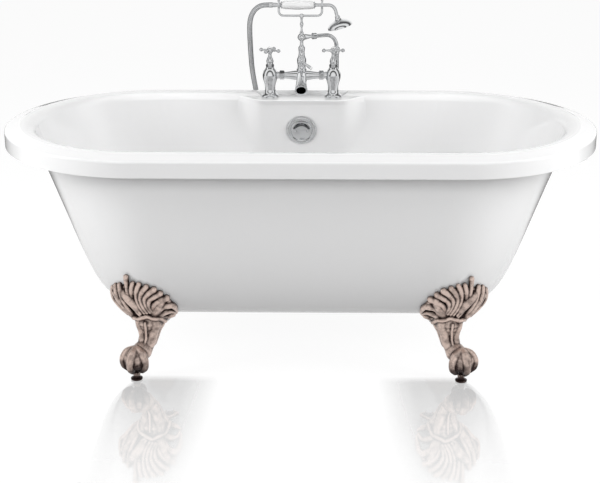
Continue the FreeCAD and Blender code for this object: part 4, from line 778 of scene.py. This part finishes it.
class BATH_OT_stage(bpy.types.Operator):
    """Makes the floor, the backdrop and the lights"""
    bl_idname = "bath.stage"
    bl_label = "Studio"

    def floor_finish(self):
        """Pale floor, polished only round the front feet, and dark to the fittings behind."""
        material = bpy.data.materials.new("studio_floor")
        nodes = Nodes(material)
        output = nodes.node("ShaderNodeOutputMaterial")
        place = nodes.split((nodes.node("ShaderNodeTexCoord"), "Object"))
        glow = nodes.node("ShaderNodeEmission", {"Color": WHITE, "Strength": FLOOR_GLOW})
        matt = nodes.node("ShaderNodeBsdfDiffuse", {"Color": (*grey(FLOOR_MATT), 1.0)})
        dull = nodes.node("ShaderNodeBsdfDiffuse", {"Color": (*grey(FLOOR_BOUNCE), 1.0)})
        shine = nodes.node("ShaderNodeBsdfGlossy", {"Color": WHITE, "Roughness": POLISH_ROUGHNESS})
        aside = nodes.math("ABSOLUTE", (place, "X"))
        across = nodes.math("MULTIPLY", nodes.range(aside, over=POLISH_INNER, to=(0.0, 1.0)),
                            nodes.range(aside, over=POLISH_OUTER, to=(1.0, 0.0)))
        along = nodes.math("MULTIPLY", nodes.range((place, "Y"), over=POLISH_BACK, to=(1.0, 0.0)),
                           nodes.range((place, "Y"), over=POLISH_FRONT, to=POLISH_SHARE))
        polish = nodes.math("MULTIPLY", across, along)
        base = nodes.mix(GLOW_SHARE, (matt, "BSDF"), (glow, "Emission"))
        seen = nodes.mix(polish, base, (shine, "BSDF"))
        behind = nodes.range((place, "Y"), over=FLOOR_BEHIND, to=(1.0, 0.0))
        room = nodes.ramp(behind, [(position, grey(value)) for position, value in FLOOR_STOPS])
        mirrored = nodes.node("ShaderNodeEmission")
        nodes.link(room, mirrored, "Color")
        ray = nodes.node("ShaderNodeLightPath")
        other = nodes.mix((ray, "Is Glossy Ray"), (dull, "BSDF"), (mirrored, "Emission"))
        nodes.link(nodes.mix((ray, "Is Camera Ray"), other, seen), output, "Surface")
        return material

    def floor(self, context):
        r = FLOOR_REACH
        mesh = bpy.data.meshes.new("floor")
        mesh.from_pydata([(-r, -r, 0), (r, -r, 0), (r, r, 0), (-r, r, 0)], [], [(0, 1, 2, 3)])
        mesh.materials.append(self.floor_finish())
        floor = bpy.data.objects.new("floor", mesh)
        context.scene.collection.objects.link(floor)

    def world(self, context):
        """White to the camera, even light on the object, and a shaded room to its fittings."""
        world = bpy.data.worlds.new("studio")
        context.scene.world = world
        nodes = Nodes(world)
        output = nodes.node("ShaderNodeOutputWorld")
        light = nodes.node("ShaderNodeBackground", {"Color": WHITE, "Strength": WORLD_LIGHT})
        shown = nodes.node("ShaderNodeBackground", {"Color": WHITE, "Strength": 1.0})
        mirrored = nodes.node("ShaderNodeBackground")
        way = nodes.split((nodes.node("ShaderNodeTexCoord"), "Generated"))
        depth = nodes.range((way, "Y"), over=(-1.0, 1.0), to=WHOLE)
        room = nodes.ramp(depth, [(position, grey(value)) for position, value in ROOM_STOPS])
        nodes.link(room, mirrored, "Color")
        ray = nodes.node("ShaderNodeLightPath")
        lit = nodes.mix((ray, "Is Glossy Ray"), (light, "Background"), (mirrored, "Background"))
        straight = nodes.math("MAXIMUM", (ray, "Is Camera Ray"), (ray, "Is Transmission Ray"))
        nodes.link(nodes.mix(straight, lit, (shown, "Background")), output, "Surface")

    def lamp(self, context, name, place, aim, size, power):
        """A soft box that the fittings don't mirror."""
        data = bpy.data.lights.new(name, "AREA")
        data.shape = "RECTANGLE"
        data.size, data.size_y = size
        data.energy = power
        light = bpy.data.objects.new(name, data)
        light.location = place
        light.rotation_euler = (Vector(aim) - Vector(place)).to_track_quat("-Z", "Y").to_euler()
        light.visible_glossy = False
        context.scene.collection.objects.link(light)

    def execute(self, context):
        self.floor(context)
        self.world(context)
        for lamp in LAMPS:
            self.lamp(context, *lamp)
        context.scene.view_settings.view_transform = "Standard"
        return {"FINISHED"}


# ================= add-on =================

class BATH_PT_panel(bpy.types.Panel):
    """Lists the bath's pieces and their settings"""
    bl_idname = "BATH_PT_panel"
    bl_label = "Clawfoot bath"
    bl_space_type = "VIEW_3D"
    bl_region_type = "UI"
    bl_category = "Bath"

    def draw(self, context):
        layout = self.layout
        for group in SETTINGS:
            settings = getattr(context.scene, group)
            box = layout.box()
            for name in settings.bl_rna.properties.keys():
                if name not in ("rna_type", "name"):
                    box.prop(settings, name)
        for step in STEPS:
            layout.operator(step.bl_idname)


SETTINGS = {"bath_settings": BathSettings, "hose_settings": HoseSettings,
            "studio_settings": StudioSettings}
STEPS = (BATH_OT_camera, BATH_OT_hose, BATH_OT_body, BATH_OT_feet, BATH_OT_waste, BATH_OT_mixer,
         BATH_OT_handset, BATH_OT_stage)


def register():
    for name, group in SETTINGS.items():
        bpy.utils.register_class(group)
        setattr(bpy.types.Scene, name, bpy.props.PointerProperty(type=group))
    for step in STEPS:
        bpy.utils.register_class(step)
    bpy.utils.register_class(BATH_PT_panel)


def unregister():
    bpy.utils.unregister_class(BATH_PT_panel)
    for step in reversed(STEPS):
        bpy.utils.unregister_class(step)
    for name, group in SETTINGS.items():
        delattr(bpy.types.Scene, name)
        bpy.utils.unregister_class(group)


def main():
    register()
    for step in STEPS:
        group, name = step.bl_idname.split(".")
        getattr(getattr(bpy.ops, group), name)()


if __name__ == "__main__":
    main()
